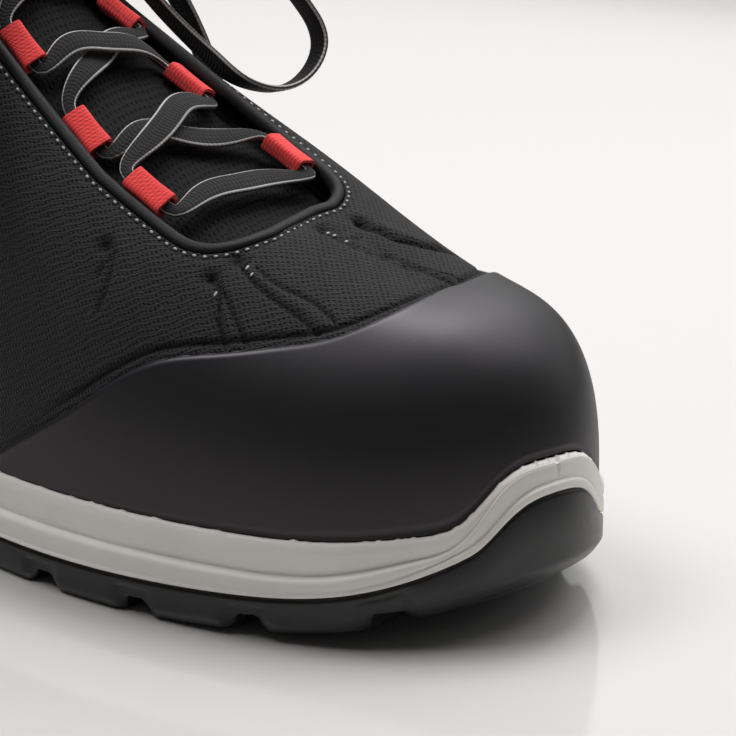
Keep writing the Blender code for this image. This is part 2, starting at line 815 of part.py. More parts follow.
def edge_frame(side, station):
    """Frame on the upper's top edge: out of the surface, along the edge to the toe, into the opening."""
    angle = top_angle(side, station)
    point = surface(side, station, angle)
    step = 0.003
    ahead = min(station + step, THROAT_FRONT)
    behind = max(station - step, 0.0)
    front, back = (surface(side, at, top_angle(side, at)) for at in (ahead, behind))
    along = unit(front - back)
    out = normal(side, station, angle)
    out = unit(out - along * np.dot(out, along))
    inward = np.cross(out, along) if side == "lateral" else np.cross(along, out)
    return Edge(point, out, along, inward, wall(side, station, angle))


def build_binding():
    """Rounded edging on the upper's top edge, all round the throat and the collar."""
    stations = [s for s in UPPER_STATIONS if s <= THROAT_FRONT]
    places = [("lateral", s) for s in stations] + [("medial", s) for s in stations[-2:0:-1]]
    angles = [top_angle(*place) for place in places]
    points = [surface(*place, angle) for place, angle in zip(places, angles)]
    count = len(points)
    sections = []
    for i, (place, angle) in enumerate(zip(places, angles)):
        along = unit(points[(i + 1) % count] - points[i - 1])
        out = normal(*place, angle)
        out = unit(out - along * np.dot(out, along))
        inward = np.cross(out, along)
        thickness = wall(*place, angle)
        centre = points[i] + inward * (GAP + BINDING_WIDTH / 2) - out * thickness / 2
        half_height = out * (thickness / 2 + BINDING_PROUD)
        sections.append(oval(centre, inward * BINDING_WIDTH / 2, half_height, BINDING_SIDES))
    swept("throat_binding", "binding", sections, closed=True)


def loop_frame(side, number):
    """Middle of a webbing loop beside the binding, with its edge frame."""
    row = LOOPS[number]
    edge = edge_frame(side, station_at_crest(getattr(row, side)))
    reach = GAP + BINDING_WIDTH + GAP + LOOP_REACH / 2
    return edge.point + edge.inward * reach - edge.out * row.sink, edge


def build_loop(side, number):
    """Folded webbing loop: a flat sleeve that lies along the throat."""
    centre, edge = loop_frame(side, number)
    bm = bmesh.new()
    rings = []
    for end in (-0.5, 0.5):
        middle = centre + edge.along * end * LOOP_LENGTH
        for web in (0.0, LOOP_WEB):
            half_reach = edge.inward * (LOOP_REACH / 2 - web)
            half_height = edge.out * (LOOP_HEIGHT / 2 - web)
            rings.append([vertex(bm, point) for point in oval(middle, half_reach, half_height, LOOP_SIDES)])
    near_outside, near_inside, far_outside, far_inside = rings
    bridge(bm, near_outside, far_outside)
    bridge(bm, far_outside, far_inside)
    bridge(bm, far_inside, near_inside)
    bridge(bm, near_inside, near_outside)
    add_object(f"lace_loop_{side}_{number + 1}", bm, "webbing")


def sample_route(points, step):
    """Points every step along a smooth curve through a route."""
    route = np.array(points, float)
    knots = np.concatenate(((0.0,), np.cumsum(np.linalg.norm(np.diff(route[:, :3], axis=0), axis=1))))
    curve = Spline(knots, route)
    count = max(int(round(knots[-1] / step)), 2)
    return np.array([curve(at) for at in np.linspace(0.0, knots[-1], count + 1)])


def lace_section(point, along, flat, width):
    """Flat lace's section: wide across the flat direction."""
    along = unit(along)
    out = unit(np.asarray(flat) - along * np.dot(flat, along))
    side = np.cross(along, out) * width / 2
    half = out * LACE_THICKNESS / 2
    return [point - side - half, point + side - half, point + side + half, point - side + half]


def loop_pass(side, number, forwards):
    """Route rows of the lace through one loop: point, normal and width."""
    centre, edge = loop_frame(side, number)
    reach = LOOP_LENGTH / 2 if forwards else -LOOP_LENGTH / 2
    places = [centre + edge.along * reach * share for share in LACE_PASS]
    return [np.concatenate((place, edge.out, (LACE_BUNCHED,))) for place in places]


def crossing(start, end, lift):
    """Route rows over the tongue between the ends of two loop passes."""
    rows = []
    for share, rise, width in LACE_CROSSING:
        spot = start[-1][:2] + (end[0][:2] - start[-1][:2]) * share
        point, out = over(spot[0], spot[1], LACE_REST + lift * rise)
        rows.append(np.concatenate((point, out, (width,))))
    return rows


def knot_frame():
    """Middle of the knot on the tongue, and its axes along the lace, across and out."""
    station = station_at_crest(KNOT_X)
    out = normal("lateral", station, RIGHT_ANGLE)
    sideways = np.array((0.0, 1.0, 0.0))
    return RIBS(station)[2:5] + out * KNOT_LIFT, np.array((np.cross(sideways, out), sideways, out))


def from_knot(point):
    """Point just clear of the knot, on the line from its middle."""
    centre, axes = knot_frame()
    ray = np.asarray(point) - centre
    depth = np.linalg.norm(axes @ ray / (np.array(KNOT_SIZE) / 2))
    return centre + ray / depth + unit(ray) * KNOT_CLEAR


def knot_strand(side):
    """Route row where the lacing leaves the knot on one side."""
    direction = -SIDES[side]
    y = knot_frame()[0][1] + direction * (KNOT_SIZE[1] / 2 + STRAND_CLEAR)
    point, out = over(KNOT_X, y, KNOT_LIFT)
    return np.concatenate((point, out, (LACE_BUNCHED,)))


def build_lacing():
    """One lace through all the loops, down from the knot and up again on the other side."""
    top = len(LOOPS) - 1
    sides = [side for _ in LOOPS for side in ("medial", "lateral")]
    down = [loop_pass(sides[k], top - k, True) for k in range(top + 1)]
    up = [loop_pass(sides[k + 1], top - k, False) for k in range(top, -1, -1)]
    route = [knot_strand("medial")]
    for first, second in zip(down, down[1:]):
        route += first + crossing(first, second, LACE_OVER)
    route += down[-1] + crossing(down[-1], up[0], 0.0)
    for first, second in zip(up, up[1:]):
        route += first + crossing(first, second, LACE_UNDER)
    route += up[-1] + [knot_strand("lateral")]
    rows = sample_route(route, LACE_STEP)
    tangents = np.gradient(rows[:, :3], axis=0)
    sections = [lace_section(row[:3], along, row[3:6], row[6]) for row, along in zip(rows, tangents)]
    swept("lacing", "lace", sections)


def build_knot():
    """Plain knot: a round body across the tongue."""
    centre, (along, sideways, out) = knot_frame()
    length, width, height = (size / 2 for size in KNOT_SIZE)
    sections = []
    for turn in np.radians(np.linspace(-KNOT_TURN, KNOT_TURN, KNOT_SECTIONS)):
        middle = centre + sideways * width * math.sin(turn)
        shrink = math.cos(turn)
        sections.append(oval(middle, along * length * shrink, out * height * shrink, KNOT_SIDES))
    swept("lace_knot", "lace", sections)


def build_cord(name):
    """Free lace along its route, narrow where it leaves the knot."""
    cord = CORDS[name]
    points = [np.array(point) for point in cord.points]
    points[0] = from_knot(points[0])
    if cord.returns:
        points[-1] = from_knot(points[-1])
    route = sample_route(points, CORD_STEP)
    tangents = np.gradient(route, axis=0)
    length = CORD_STEP * (len(route) - 1)
    sections = []
    for i, (point, along) in enumerate(zip(route, tangents)):
        away = CORD_STEP * i
        if cord.returns:
            away = min(away, length - away)
        width = LACE_PINCHED + (LACE_WIDTH - LACE_PINCHED) * smooth(away / LACE_OPENS)
        sections.append(lace_section(point, along, np.cross(along, cord.wide), width))
    swept(name, "lace", sections)


def main():
    for old in list(bpy.data.objects):
        bpy.data.objects.remove(old, do_unlink=True)
    build_outsole()
    build_midsole()
    build_insole()
    build_upper()
    build_guard()
    build_tongue()
    build_binding()
    for side in SIDES:
        for number in range(len(LOOPS)):
            build_loop(side, number)
    build_lacing()
    build_knot()
    for name in CORDS:
        build_cord(name)


main()
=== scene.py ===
"""Looks of a right-foot sport safety shoe: knit, guard, sole, laces, floor and light.

Shapes are worked out in millimetres, with x from heel to toe, y towards the medial side and z up.
A place runs from the heel (0) along the lateral side to the toe (1) and back along the medial side (2).
"""
import math
from collections import namedtuple

import bmesh
import bpy
import numpy as np
from mathutils import Matrix, Vector
from mathutils.kdtree import KDTree


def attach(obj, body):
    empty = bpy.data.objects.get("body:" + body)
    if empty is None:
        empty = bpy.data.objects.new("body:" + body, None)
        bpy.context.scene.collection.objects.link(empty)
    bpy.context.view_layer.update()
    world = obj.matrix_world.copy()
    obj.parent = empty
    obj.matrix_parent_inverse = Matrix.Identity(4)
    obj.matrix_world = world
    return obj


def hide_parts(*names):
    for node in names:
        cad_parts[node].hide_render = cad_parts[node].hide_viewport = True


bl_info = {
    "name": "Safety shoe looks",
    "version": (1, 0, 0),
    "blender": (4, 5, 0),
    "location": "View3D > Sidebar > Shoe",
    "description": "Dresses the packed safety shoe and sets its stage",
    "category": "Object",
}

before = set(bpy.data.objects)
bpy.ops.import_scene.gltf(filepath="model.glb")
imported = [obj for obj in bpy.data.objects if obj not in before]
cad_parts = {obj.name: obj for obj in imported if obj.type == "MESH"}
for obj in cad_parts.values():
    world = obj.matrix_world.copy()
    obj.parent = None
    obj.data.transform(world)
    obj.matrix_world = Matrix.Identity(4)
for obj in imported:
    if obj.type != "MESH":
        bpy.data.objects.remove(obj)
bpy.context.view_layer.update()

MM = 0.001
RIGHT_ANGLE = math.pi / 2
BODY = "root"
CENTRE = np.array((148.4478, -1.2578, 0.0))

# Last
LENGTH = 289.1
BALL_WIDTH = 100.0
INSTEP = 99.0
HEEL_COLLAR = 112.0
TOE_SPRING = 9.5
SPRING_START = 190.0
SPRING_POWER = 2.5
HEEL_BACK = 4.2
GAP = 0.3
FLOOR = 17.0
Section = namedtuple(
    "Section",
    "lateral_x lateral_y medial_x medial_y crest_x crest_y crest_z lateral_power medial_power",
)
SECTIONS = (
    Section(0.000, 0.000, 0.000, 0.000, 0.199, 0.000, 1.919, 2.20, 2.20),
    Section(0.020, -0.215, 0.020, 0.210, 0.199, 0.000, 1.919, 2.20, 2.20),
    Section(0.075, -0.335, 0.075, 0.325, 0.206, 0.000, 1.919, 2.20, 2.20),
    Section(0.165, -0.380, 0.165, 0.365, 0.233, 0.005, 1.899, 2.25, 2.25),
    Section(0.278, -0.400, 0.278, 0.375, 0.295, 0.010, 1.758, 2.35, 2.35),
    Section(0.399, -0.435, 0.399, 0.395, 0.402, 0.020, 1.475, 2.50, 2.50),
    Section(0.519, -0.485, 0.519, 0.435, 0.519, 0.030, 1.222, 2.50, 2.65),
    Section(0.640, -0.515, 0.640, 0.485, 0.640, 0.040, 1.000, 2.50, 3.30),
    Section(0.750, -0.489, 0.750, 0.484, 0.743, 0.045, 0.857, 2.60, 3.20),
    Section(0.843, -0.422, 0.840, 0.462, 0.815, 0.050, 0.771, 2.65, 2.78),
    Section(0.917, -0.317, 0.910, 0.407, 0.860, 0.055, 0.728, 2.55, 2.80),
    Section(0.970, -0.165, 0.963, 0.303, 0.879, 0.060, 0.716, 2.48, 2.90),
    Section(1.000, 0.080, 1.000, 0.080, 0.886, 0.065, 0.712, 2.45, 2.45),
)
CREST_LEVEL = 71.2
CREST_EASE = 0.25
CREST_FADE = 0.35

# Openings of the upper
THROAT_BACK = 0.330
THROAT_FRONT = 0.732
CollarRow = namedtuple("CollarRow", "station height")
COLLAR = (
    CollarRow(0.000, HEEL_COLLAR),
    CollarRow(0.070, HEEL_COLLAR - 4.0),
    CollarRow(0.160, HEEL_COLLAR - 16.0),
    CollarRow(0.230, HEEL_COLLAR - 20.0),
    CollarRow(0.300, HEEL_COLLAR - 11.0),
    CollarRow(0.360, HEEL_COLLAR + 8.0),
    CollarRow(0.420, HEEL_COLLAR + 36.0),
)
COLLAR_ROUNDING = 18.0
ThroatRow = namedtuple("ThroatRow", "x centre half_width")
THROAT = (
    ThroatRow(90.0, 1.0, 19.0),
    ThroatRow(118.0, 0.5, 21.0),
    ThroatRow(150.0, -0.5, 24.0),
    ThroatRow(185.0, -2.0, 27.0),
    ThroatRow(225.0, -2.5, 27.0),
)
THROAT_END_X = 225.2
THROAT_ROUND = 20.0
THROAT_POWER = 2.6

# Walls of the upper
WALL = 2.4
PADDING = 2.4
PADDING_FROM = 0.365
PADDING_REACH = 0.080
PADDING_LOW = 60.0
PADDING_RISE = 25.0

# Guard
GUARD_REAR = 0.575
GUARD_BEND = 0.915
GUARD_FRONT = 0.970
GUARD_GAP = 0.4
GuardRow = namedtuple("GuardRow", "station angle")
GUARD_EDGE = (
    GuardRow(GUARD_REAR, 4.8),
    GuardRow(0.620, 11.5),
    GuardRow(0.660, 20.0),
    GuardRow(0.700, 30.2),
    GuardRow(0.750, 38.8),
    GuardRow(0.790, 46.5),
    GuardRow(0.820, 54.0),
    GuardRow(0.845, 64.5),
    GuardRow(0.870, 76.0),
    GuardRow(0.895, 84.4),
    GuardRow(GUARD_BEND, 87.6),
    GuardRow(0.940, 89.3),
    GuardRow(GUARD_FRONT, 90.0),
)
GUARD_CHAMFER = 1.5

# Tongue
TONGUE_TOP = 0.345
TONGUE_END = 0.765
TONGUE_DEPTH = 6.6
TONGUE_LAP = 6.0
TONGUE_SHOULDER = 0.30
TONGUE_SEAT = (0.728, 0.752)
TONGUE_SEAT_GAP = 0.9
TONGUE_DROP = 1.2
TONGUE_DROP_REACH = 0.100
TONGUE_THICKNESS = 3.9
TONGUE_HALF = 30.0
TONGUE_ROUND = 2.4
TONGUE_TURN = 1.7

# Insole
INSOLE_THICKNESS = 4.0
INSOLE_SIDE_GAP = 0.5
INSOLE_ROUND = 0.7
INSOLE_CORNERS = (0.4,)

# Sole lines and rows
LineRow = namedtuple("LineRow", "station outsole ledge rim")
SIDE_LINES = (
    LineRow(0.000, 10.5, 18.0, 30.0),
    LineRow(0.120, 10.0, 17.0, 28.6),
    LineRow(0.300, 9.5, 16.0, 26.0),
    LineRow(0.500, 9.2, 15.6, 24.7),
    LineRow(0.690, 9.3, 15.6, 24.3),
    LineRow(0.790, 10.4, 15.8, 24.4),
    LineRow(0.865, 13.0, 17.5, 25.2),
    LineRow(0.913, 17.8, 21.8, 26.9),
    LineRow(0.937, 21.2, 25.4, 29.2),
    LineRow(0.949, 23.6, 30.2, 33.0),
    LineRow(0.961, 27.8, 35.8, 37.3),
    LineRow(0.973, 31.4, 38.8, 40.0),
    LineRow(0.985, 33.2, 39.8, 41.0),
    LineRow(1.000, 33.8, 40.0, 41.2),
)
TOE_PEAK = 0.025
TOE_PEAK_FROM = (0.550, 0.850)
TOE_BLEND = (0.865, 0.985)
SoleRow = namedtuple("SoleRow", "line side_rise side_offset toe_rise toe_offset")
PLATE = 7.0
RIM_INSIDE = 2.0
CUP_GAP = 0.4
OUTSOLE_ROWS = (
    SoleRow("base", 0.0, 1.6, 0.0, -6.5),
    SoleRow("base", 1.4, 2.6, 2.6, -0.8),
    SoleRow("base", 3.8, 3.3, 7.0, 2.6),
    SoleRow("outsole", -2.2, 3.5, -8.0, 3.5),
    SoleRow("outsole", 0.0, 3.3, 0.0, 3.3),
    SoleRow("outsole", 0.0, RIM_INSIDE, 0.0, RIM_INSIDE),
    SoleRow("plate", 0.0, RIM_INSIDE, 0.0, RIM_INSIDE),
)
MIDSOLE_ROWS = (
    SoleRow("plate", GAP, RIM_INSIDE - GAP, GAP, RIM_INSIDE - GAP),
    SoleRow("outsole", GAP, RIM_INSIDE - GAP, GAP, RIM_INSIDE - GAP),
    SoleRow("outsole", GAP, 3.7, GAP, 3.3),
    SoleRow("outsole", 0.7, 4.2, 1.0, 3.7),
    SoleRow("outsole", 1.1, 4.2, 2.1, 3.7),
    SoleRow("outsole", 1.4, 3.9, 2.5, 3.4),
    SoleRow("outsole", 1.7, 3.8, 2.7, 2.5),
    SoleRow("outsole", 2.3, 4.0, 3.3, 2.7),
    SoleRow("ledge", -1.0, 4.2, -1.2, 3.0),
    SoleRow("ledge", -0.2, 4.0, 0.0, 3.0),
    SoleRow("ledge", 0.1, 3.4, 0.1, 3.0),
    SoleRow("ledge", 0.2, 2.0, 0.2, 2.95),
    SoleRow("ledge", 0.8, 2.0, 0.3, 2.9),
    SoleRow("ledge", 1.8, 2.4, 0.5, 2.9),
    SoleRow("rim", -2.2, 2.9, -0.6, 2.8),
    SoleRow("rim", -0.7, 2.7, -0.5, 2.7),
    SoleRow("rim", 0.0, 2.1, 0.0, 2.2),
    SoleRow("rim", 0.0, 0.9, 0.0, 0.9),
    SoleRow("rim", -0.7, CUP_GAP, -0.5, CUP_GAP),
    SoleRow("floor", 0.0, CUP_GAP, 0.0, CUP_GAP),
)
CORNER_SHARE = 0.4
MIDSOLE_CORNERS = (0.28, 0.10)
OUTSOLE_CORNERS = (0.7, 0.25)
TRAY_LINES = 4
FLASH = 0.42
FLASH_LEAST = 0.35
RIM_RUN = 520.0
Parting = namedtuple("Parting", "place width depth")
PARTING = Parting(0.9765, 0.0011, 0.55)
Trim = namedtuple("Trim", "place reach offset")
LIP_TRIM = Trim(1.050, 0.060, 2.8)
HEEL_BEVEL = 2.2
HEEL_BEVEL_LENGTH = 24.0
ARCH_RISE = 3.0
ARCH = (88.0, 108.0, 128.0, 150.0)

# Tread
LUG_HEIGHT = 4.0
GROOVES_X = (30.0, 57.0, 84.0, 159.0, 186.0, 213.0, 240.0, 267.0)
GROOVE_HALF = 2.3
GROOVE_SLOPE = 1.3
GROOVE_BEND = 9.0
GROOVE_REACH = 75.0
FACET_DEPTH = 1.1
FACET_BELOW = 1.6
FACET_FADE = 1.6
FACET_SPREAD = 1.4
CENTRE_GROOVE = (62.0, 268.0)
CENTRE_GROOVE_HALF = 2.5

# Binding, loops and laces
BINDING_WIDTH = 3.0
BINDING_PROUD = 0.5
BINDING_BLUNT = 0.8
BINDING_SIDES = 18
BINDING_CLOTH = 2.2
STITCH_INSET = 0.7
STITCH_SINK = 0.10
STITCH_RISE = 0.42
STITCH_GRID = (8, 6)
LoopRow = namedtuple("LoopRow", "lateral medial sink")
LOOPS = (
    LoopRow(195.0, 203.0, 1.6),
    LoopRow(173.0, 174.0, 4.6),
    LoopRow(150.0, 151.0, 3.6),
    LoopRow(129.0, 129.0, 3.2),
)
LOOP_LENGTH = 11.5
LOOP_REACH = 6.4
LOOP_HEIGHT = 4.4
LOOP_WEB = 0.75
LOOP_BLUNT = 0.5
LOOP_WAIST = 0.05
LOOP_GRID = (40, 14)
LOOP_CLOTH = 3.2
LACE_WIDTH = 6.6
LACE_BUNCHED = 3.0
LACE_PINCHED = 3.0
LACE_OPENS = 16.0
LACE_THICKNESS = 1.5
LACE_SIDES = 16
LACE_EDGE_BLUNT = 0.45
LACE_FACE_BLUNT = 0.9
LACE_STEP = 1.2
TIP_LENGTH = 14.5
TIP_START = 17.0
TIP_TAPER = 4.0
TIP_WIDTH = 2.8
LACE_PASS = (-1.3, -0.6, 0.6, 1.3)
LACE_CROSSING = ((0.20, 0.5, 5.6), (0.50, 1.0, LACE_WIDTH), (0.80, 0.5, 5.6))
LACE_REST = -2.0
LACE_OVER = 1.4
LACE_UNDER = -1.4
KNOT_X = 112.0
KNOT_SIZE = (13.0, 16.0, 9.0)
KNOT_LIFT = -1.6
KNOT_CLEAR = 1.1
KNOT_GRID = (48, 40)
KNOT_WRAP = 0.42
KNOT_WRAP_EDGE = 0.08
KNOT_GROOVE = 0.46
KNOT_GROOVE_WIDTH = 0.06
KNOT_GROOVE_DEPTH = 0.12
KNOT_WAIST = 0.90
KNOT_LOBE = 0.06
KNOT_LOBES = (3, 4)
KNOT_SIDE = 0.98
KNOT_CLOTH = 6.0
KNOT_CLOTH_REACH = 1.4
STRAND_CLEAR = 1.6
Cord = namedtuple("Cord", "returns wide points")
CORDS = {
    "bow_loop_medial": Cord(True, (1.0, -0.2, 0.3), (
        (124.0, 9.0, 149.0), (138.0, 19.0, 138.0), (154.0, 26.5, 119.0), (167.9, 29.5, 107.4),
        (179.0, 31.5, 101.4), (184.0, 39.0, 99.6), (186.8, 46.0, 103.4), (186.5, 50.0, 110.0),
        (182.0, 48.0, 119.5), (170.0, 41.0, 137.0), (150.0, 28.0, 153.0), (124.0, 10.0, 160.0),
    )),
    "lace_end_medial": Cord(False, (1.0, 0.1, 0.2), (
        (117.0, 13.0, 154.0), (132.0, 26.0, 146.0), (144.0, 36.0, 128.0), (149.5, 41.0, 115.0),
        (151.5, 46.5, 102.0), (152.5, 52.0, 84.0), (152.5, 54.5, 68.0), (152.0, 55.5, 52.0),
    )),
    "bow_loop_lateral": Cord(True, (0.8, 0.4, 0.4), (
        (124.0, -6.0, 149.0), (138.0, -18.0, 140.0), (150.0, -32.0, 124.0), (157.0, -43.0, 112.0),
        (157.0, -52.0, 105.0), (150.0, -57.0, 107.0), (141.0, -53.0, 119.0), (133.0, -40.0, 139.0),
        (127.0, -22.0, 155.0), (122.0, -7.0, 160.0),
    )),
    "lace_end_lateral": Cord(False, (1.0, -0.1, 0.2), (
        (114.0, -10.0, 154.0), (118.0, -23.0, 146.0), (124.0, -36.0, 129.0), (128.0, -45.0, 112.0),
        (130.0, -51.5, 94.0), (131.0, -54.5, 76.0), (131.0, -55.5, 60.0),
    )),
}
CORD_STEP = 5.0
CORD_FINE_STEP = 0.5
CORD_ROW_STEP = 1.5

# Relief of the knit: a crease has a depth, negative for a raised ridge, a half-width and places with angles
Crease = namedtuple("Crease", "depth width route")
CREASES = (
    Crease(0.85, 0.55, ((0.717, 55.3), (0.728, 52.5), (0.736, 46.5), (0.747, 40.5))),
    Crease(0.75, 0.55, ((0.724, 55.2), (0.743, 49.5), (0.761, 43.0))),
    Crease(-0.35, 1.0, ((0.724, 54.0), (0.739, 48.3), (0.754, 42.0))),
    Crease(0.90, 0.52, ((0.741, 64.8), (0.755, 63.5), (0.772, 63.2), (0.788, 63.2),
                        (0.801, 61.8), (0.813, 59.5))),
    Crease(0.90, 0.52, ((0.731, 62.8), (0.742, 61.0), (0.758, 59.0), (0.769, 58.0),
                        (0.786, 56.6), (0.806, 53.4))),
    Crease(-0.40, 1.2, ((0.740, 63.2), (0.757, 61.4), (0.776, 60.4), (0.796, 58.9), (0.810, 56.6))),
    Crease(0.95, 0.55, ((0.752, 89.0), (0.766, 89.7), (1.223, 89.7), (1.203, 89.5), (1.187, 88.8),
                        (1.172, 87.7), (1.156, 85.7), (1.139, 83.2), (1.126, 82.7))),
    Crease(0.95, 0.55, ((0.748, 87.2), (0.774, 88.2), (0.793, 89.3), (1.189, 89.8), (1.173, 89.2),
                        (1.160, 87.8), (1.140, 87.0), (1.119, 86.0))),
    Crease(-0.40, 1.0, ((0.760, 88.9), (0.784, 89.6), (1.196, 89.6), (1.180, 89.0),
                        (1.162, 86.8), (1.136, 84.9))),
    Crease(1.25, 1.00, ((1.248, 86.2), (1.236, 86.0), (1.228, 84.5), (1.219, 83.7), (1.212, 81.7),
                        (1.207, 79.2), (1.201, 76.2), (1.199, 71.2), (1.199, 64.0))),
    Crease(-0.60, 2.20, ((1.236, 83.0), (1.222, 79.5), (1.212, 75.0), (1.209, 70.0))),
    Crease(0.70, 0.60, ((0.645, 47.8), (0.648, 43.5), (0.649, 39.0), (0.648, 35.0))),
    Crease(0.60, 0.60, ((0.643, 46.0), (0.641, 43.5), (0.640, 41.5))),
)
Spot = namedtuple("Spot", "place angle")
DIMPLES = (
    Spot(0.726, 64.0),
    Spot(0.717, 55.3),
    Spot(1.248, 86.2),
    Spot(1.242, 86.0),
    Spot(0.747, 87.8),
    Spot(0.637, 47.8),
)
DIMPLE_DEPTH = 1.3
DIMPLE_RADIUS = 1.9
TACK_LENGTH = 1.5
TACKS = (
    Spot(0.735, 63.3),
    Spot(0.741, 62.3),
    Spot(0.754, 87.5),
    Spot(0.759, 88.0),
    Spot(0.770, 88.5),
    Spot(0.726, 52.0),
)
EDGE_GROOVE = 2.6
EDGE_GROOVE_DEPTH = 0.8
EDGE_GROOVE_WIDTH = 0.6
EDGE_GROOVE_FROM = 0.600
EDGE_GROOVE_FADE = 0.050
SEAM_TROUGH = 0.35
SEAM_TROUGH_AT = 1.2
SEAM_TROUGH_WIDTH = 0.8
UNEVEN = 0.16
UNEVEN_FADE = 6.0
UNEVEN_OFF_SEAM = 2.0
UNEVEN_OFF_GUARD = 3.0

# Steps along the pieces and rows up them
Span = namedtuple("Span", "start end steps")
UPPER_BACK = (Span(0.0, 0.10, 22), Span(0.10, 0.56, 62), Span(0.56, 0.672, 50))
UPPER_CORNER_STEPS = 44
UPPER_FRONT = (Span(THROAT_FRONT, 0.87, 92), Span(0.87, 1.0, 22))
UPPER_ROWS = 112
UPPER_COARSER = 8
EDGE_SPANS = (Span(0.0, 0.672, 500), Span(0.672, 0.722, 200), Span(0.722, THROAT_FRONT, 300))
EDGE_STEP = 1.0
GUARD_EDGE_SPANS = (Span(GUARD_REAR, GUARD_FRONT, 500),)
GUARD_SPANS = (
    Span(GUARD_REAR, GUARD_BEND, 150),
    Span(GUARD_BEND, GUARD_FRONT, 26),
    Span(GUARD_FRONT, 1.0, 14),
)
GUARD_ROWS = 48
GUARD_COARSER = 4
GUARD_CROWDING = 1.6
SOLE_SPANS = (Span(0.0, 0.06, 20), Span(0.06, 0.86, 220), Span(0.86, 0.96, 44), Span(0.96, 1.0, 60))
TREAD_ROWS = 72
INSOLE_SPANS = (Span(0.0, 0.06, 12), Span(0.06, 0.94, 80), Span(0.94, 1.0, 12))
INSOLE_ROWS = 16
TONGUE_SPANS = (Span(TONGUE_TOP, TONGUE_END, 130),)
TONGUE_ROWS = 72

# How finely the last is read
PLACE_STEP = 0.004
ANGLE_STEP = 0.02
HELD_ANGLE = math.radians(86)
SHARED_FROM = 82.0
SHARED_OVER = 8.0
HALVINGS = 34
CREST_FROM = 0.2
RIB_STEPS = 18
FRAME_STEP = 0.003
MERGE = 2e-6
SLIVER = 1e-7

# Cloth of the upper, unrolled round the heel and straight in front of it
CLOTH_HEEL_END = 0.36
CLOTH_BLEND = 0.06
CLOTH_STEPS = 200
CLOTH_ANGLE = math.radians(35)

# Pitches and depths of the weaves, in millimetres
KNIT_PITCH = 1.72
KNIT_YARN = 0.86
KNIT_DEPTH = 0.38
LINING_ROWS = 1.9
LINING_HOLES = 1.7
LINING_DEPTH = 0.42
BINDING_RIB = 0.55
BINDING_DEPTH = 0.05
WEBBING_RIB = 0.95
WEBBING_WARP = 0.70
WEAVE_DEPTH = 0.16
LACE_RIB = 1.05
LACE_CORD = 0.42
EDGE_THREAD = (0.90, 0.045, 0.05)
GUARD_GRAIN_DEPTH = 0.018
MOULD_GRAIN_DEPTH = 0.03

# Stage
VIEW_ANGLES = (39.0, 20.0)
VIEW_TARGET = (240.0, -10.0, 45.0)
VIEW_SHIFT = (0.0448, 0.0448)
SENSOR = 36.0
FLOOR_HALF = 4.0
FLOOR_DROP = 0.0002
FLOOR_CELLS = 8
WORLD_COLOUR = (1.0, 0.985, 0.975, 1.0)
WORLD_STRENGTH = 0.06
Light = namedtuple("Light", "name spot aim size power")
LIGHTS = (
    Light("key", (-0.02, 0.36, 1.25), (0.10, 0.0, 0.02), (0.45, 0.40), 5.5),
    Light("top", (0.18, 0.58, 1.15), (0.10, 0.0, 0.02), (1.5, 0.9), 9.5),
    Light("backdrop", (-0.30, 1.75, 1.10), (0.05, 0.0, 0.05), (5.2, 1.7), 21.0),
    Light("fill", (-0.50, -0.42, 1.45), (0.02, 0.0, 0.03), (1.0, 0.7), 11.5),
)


def second_derivatives(knots, values):
    """Second derivatives of the natural cubic spline through the values."""
    count = len(knots)
    steps = np.diff(knots)
    matrix = np.eye(count)
    right = np.zeros_like(values)
    for i in range(1, count - 1):
        matrix[i, i - 1:i + 2] = steps[i - 1], 2 * (steps[i - 1] + steps[i]), steps[i]
        right[i] = 6 * ((values[i + 1] - values[i]) / steps[i] - (values[i] - values[i - 1]) / steps[i - 1])
    return np.linalg.solve(matrix, right)


class Spline:
    """Natural cubic spline through rows of values, read at many places at once."""

    def __init__(self, knots, values):
        self.knots = np.array(knots, float)
        self.values = np.array(values, float)
        self.bends = second_derivatives(self.knots, self.values)

    def __call__(self, at):
        at = np.atleast_1d(np.asarray(at, float))
        i = np.clip(np.searchsorted(self.knots, at, side="right") - 1, 0, len(self.knots) - 2)
        step = (self.knots[i + 1] - self.knots[i])[:, None]
        a = (self.knots[i + 1] - at)[:, None]
        b = (at - self.knots[i])[:, None]
        curve = (self.bends[i] * a ** 3 + self.bends[i + 1] * b ** 3) / (6 * step)
        low = (self.values[i] / step - self.bends[i] * step / 6) * a
        high = (self.values[i + 1] / step - self.bends[i + 1] * step / 6) * b
        return curve + low + high


def table_spline(rows):
    """Spline of a table's columns over its first column."""
    table = np.array(rows, float)
    return Spline(table[:, 0], table[:, 1:])


def last_spline():
    """Closed spline of the sections: lateral ribs at 0 to 1, medial ribs at 2 to 1."""
    scale = np.array((LENGTH, BALL_WIDTH, LENGTH, BALL_WIDTH, INSTEP, 1.0))
    shift = np.array((HEEL_BACK, 0.0, HEEL_BACK, 0.0, 0.0, 0.0))
    table = np.array(SECTIONS, float)
    lateral = table[:, (0, 1, 4, 5, 6, 7)] * scale + shift
    medial = table[:, (2, 3, 4, 5, 6, 8)] * scale + shift
    chords = [np.hypot(*np.diff(side[:, :2], axis=0).T) for side in (lateral, medial)]
    steps = (chords[0] + chords[1]) / (chords[0] + chords[1]).sum()
    around = np.concatenate((steps, steps[::-1]))
    loop = np.vstack((lateral, medial[1:-1][::-1]))
    pad = 5
    values = np.vstack((loop[-pad:], loop, loop[:pad + 1]))
    spans = np.concatenate((around[-pad:], around, around[:pad]))
    knots = np.concatenate(((0.0,), np.cumsum(spans))) - around[-pad:].sum()
    return Spline(knots, values)


RIBS = last_spline()
LINES = table_spline(SIDE_LINES)
COLLAR_CURVE = table_spline(COLLAR)
GUARD_CURVE = table_spline(GUARD_EDGE)
THROAT_TABLE = np.array(THROAT, float)


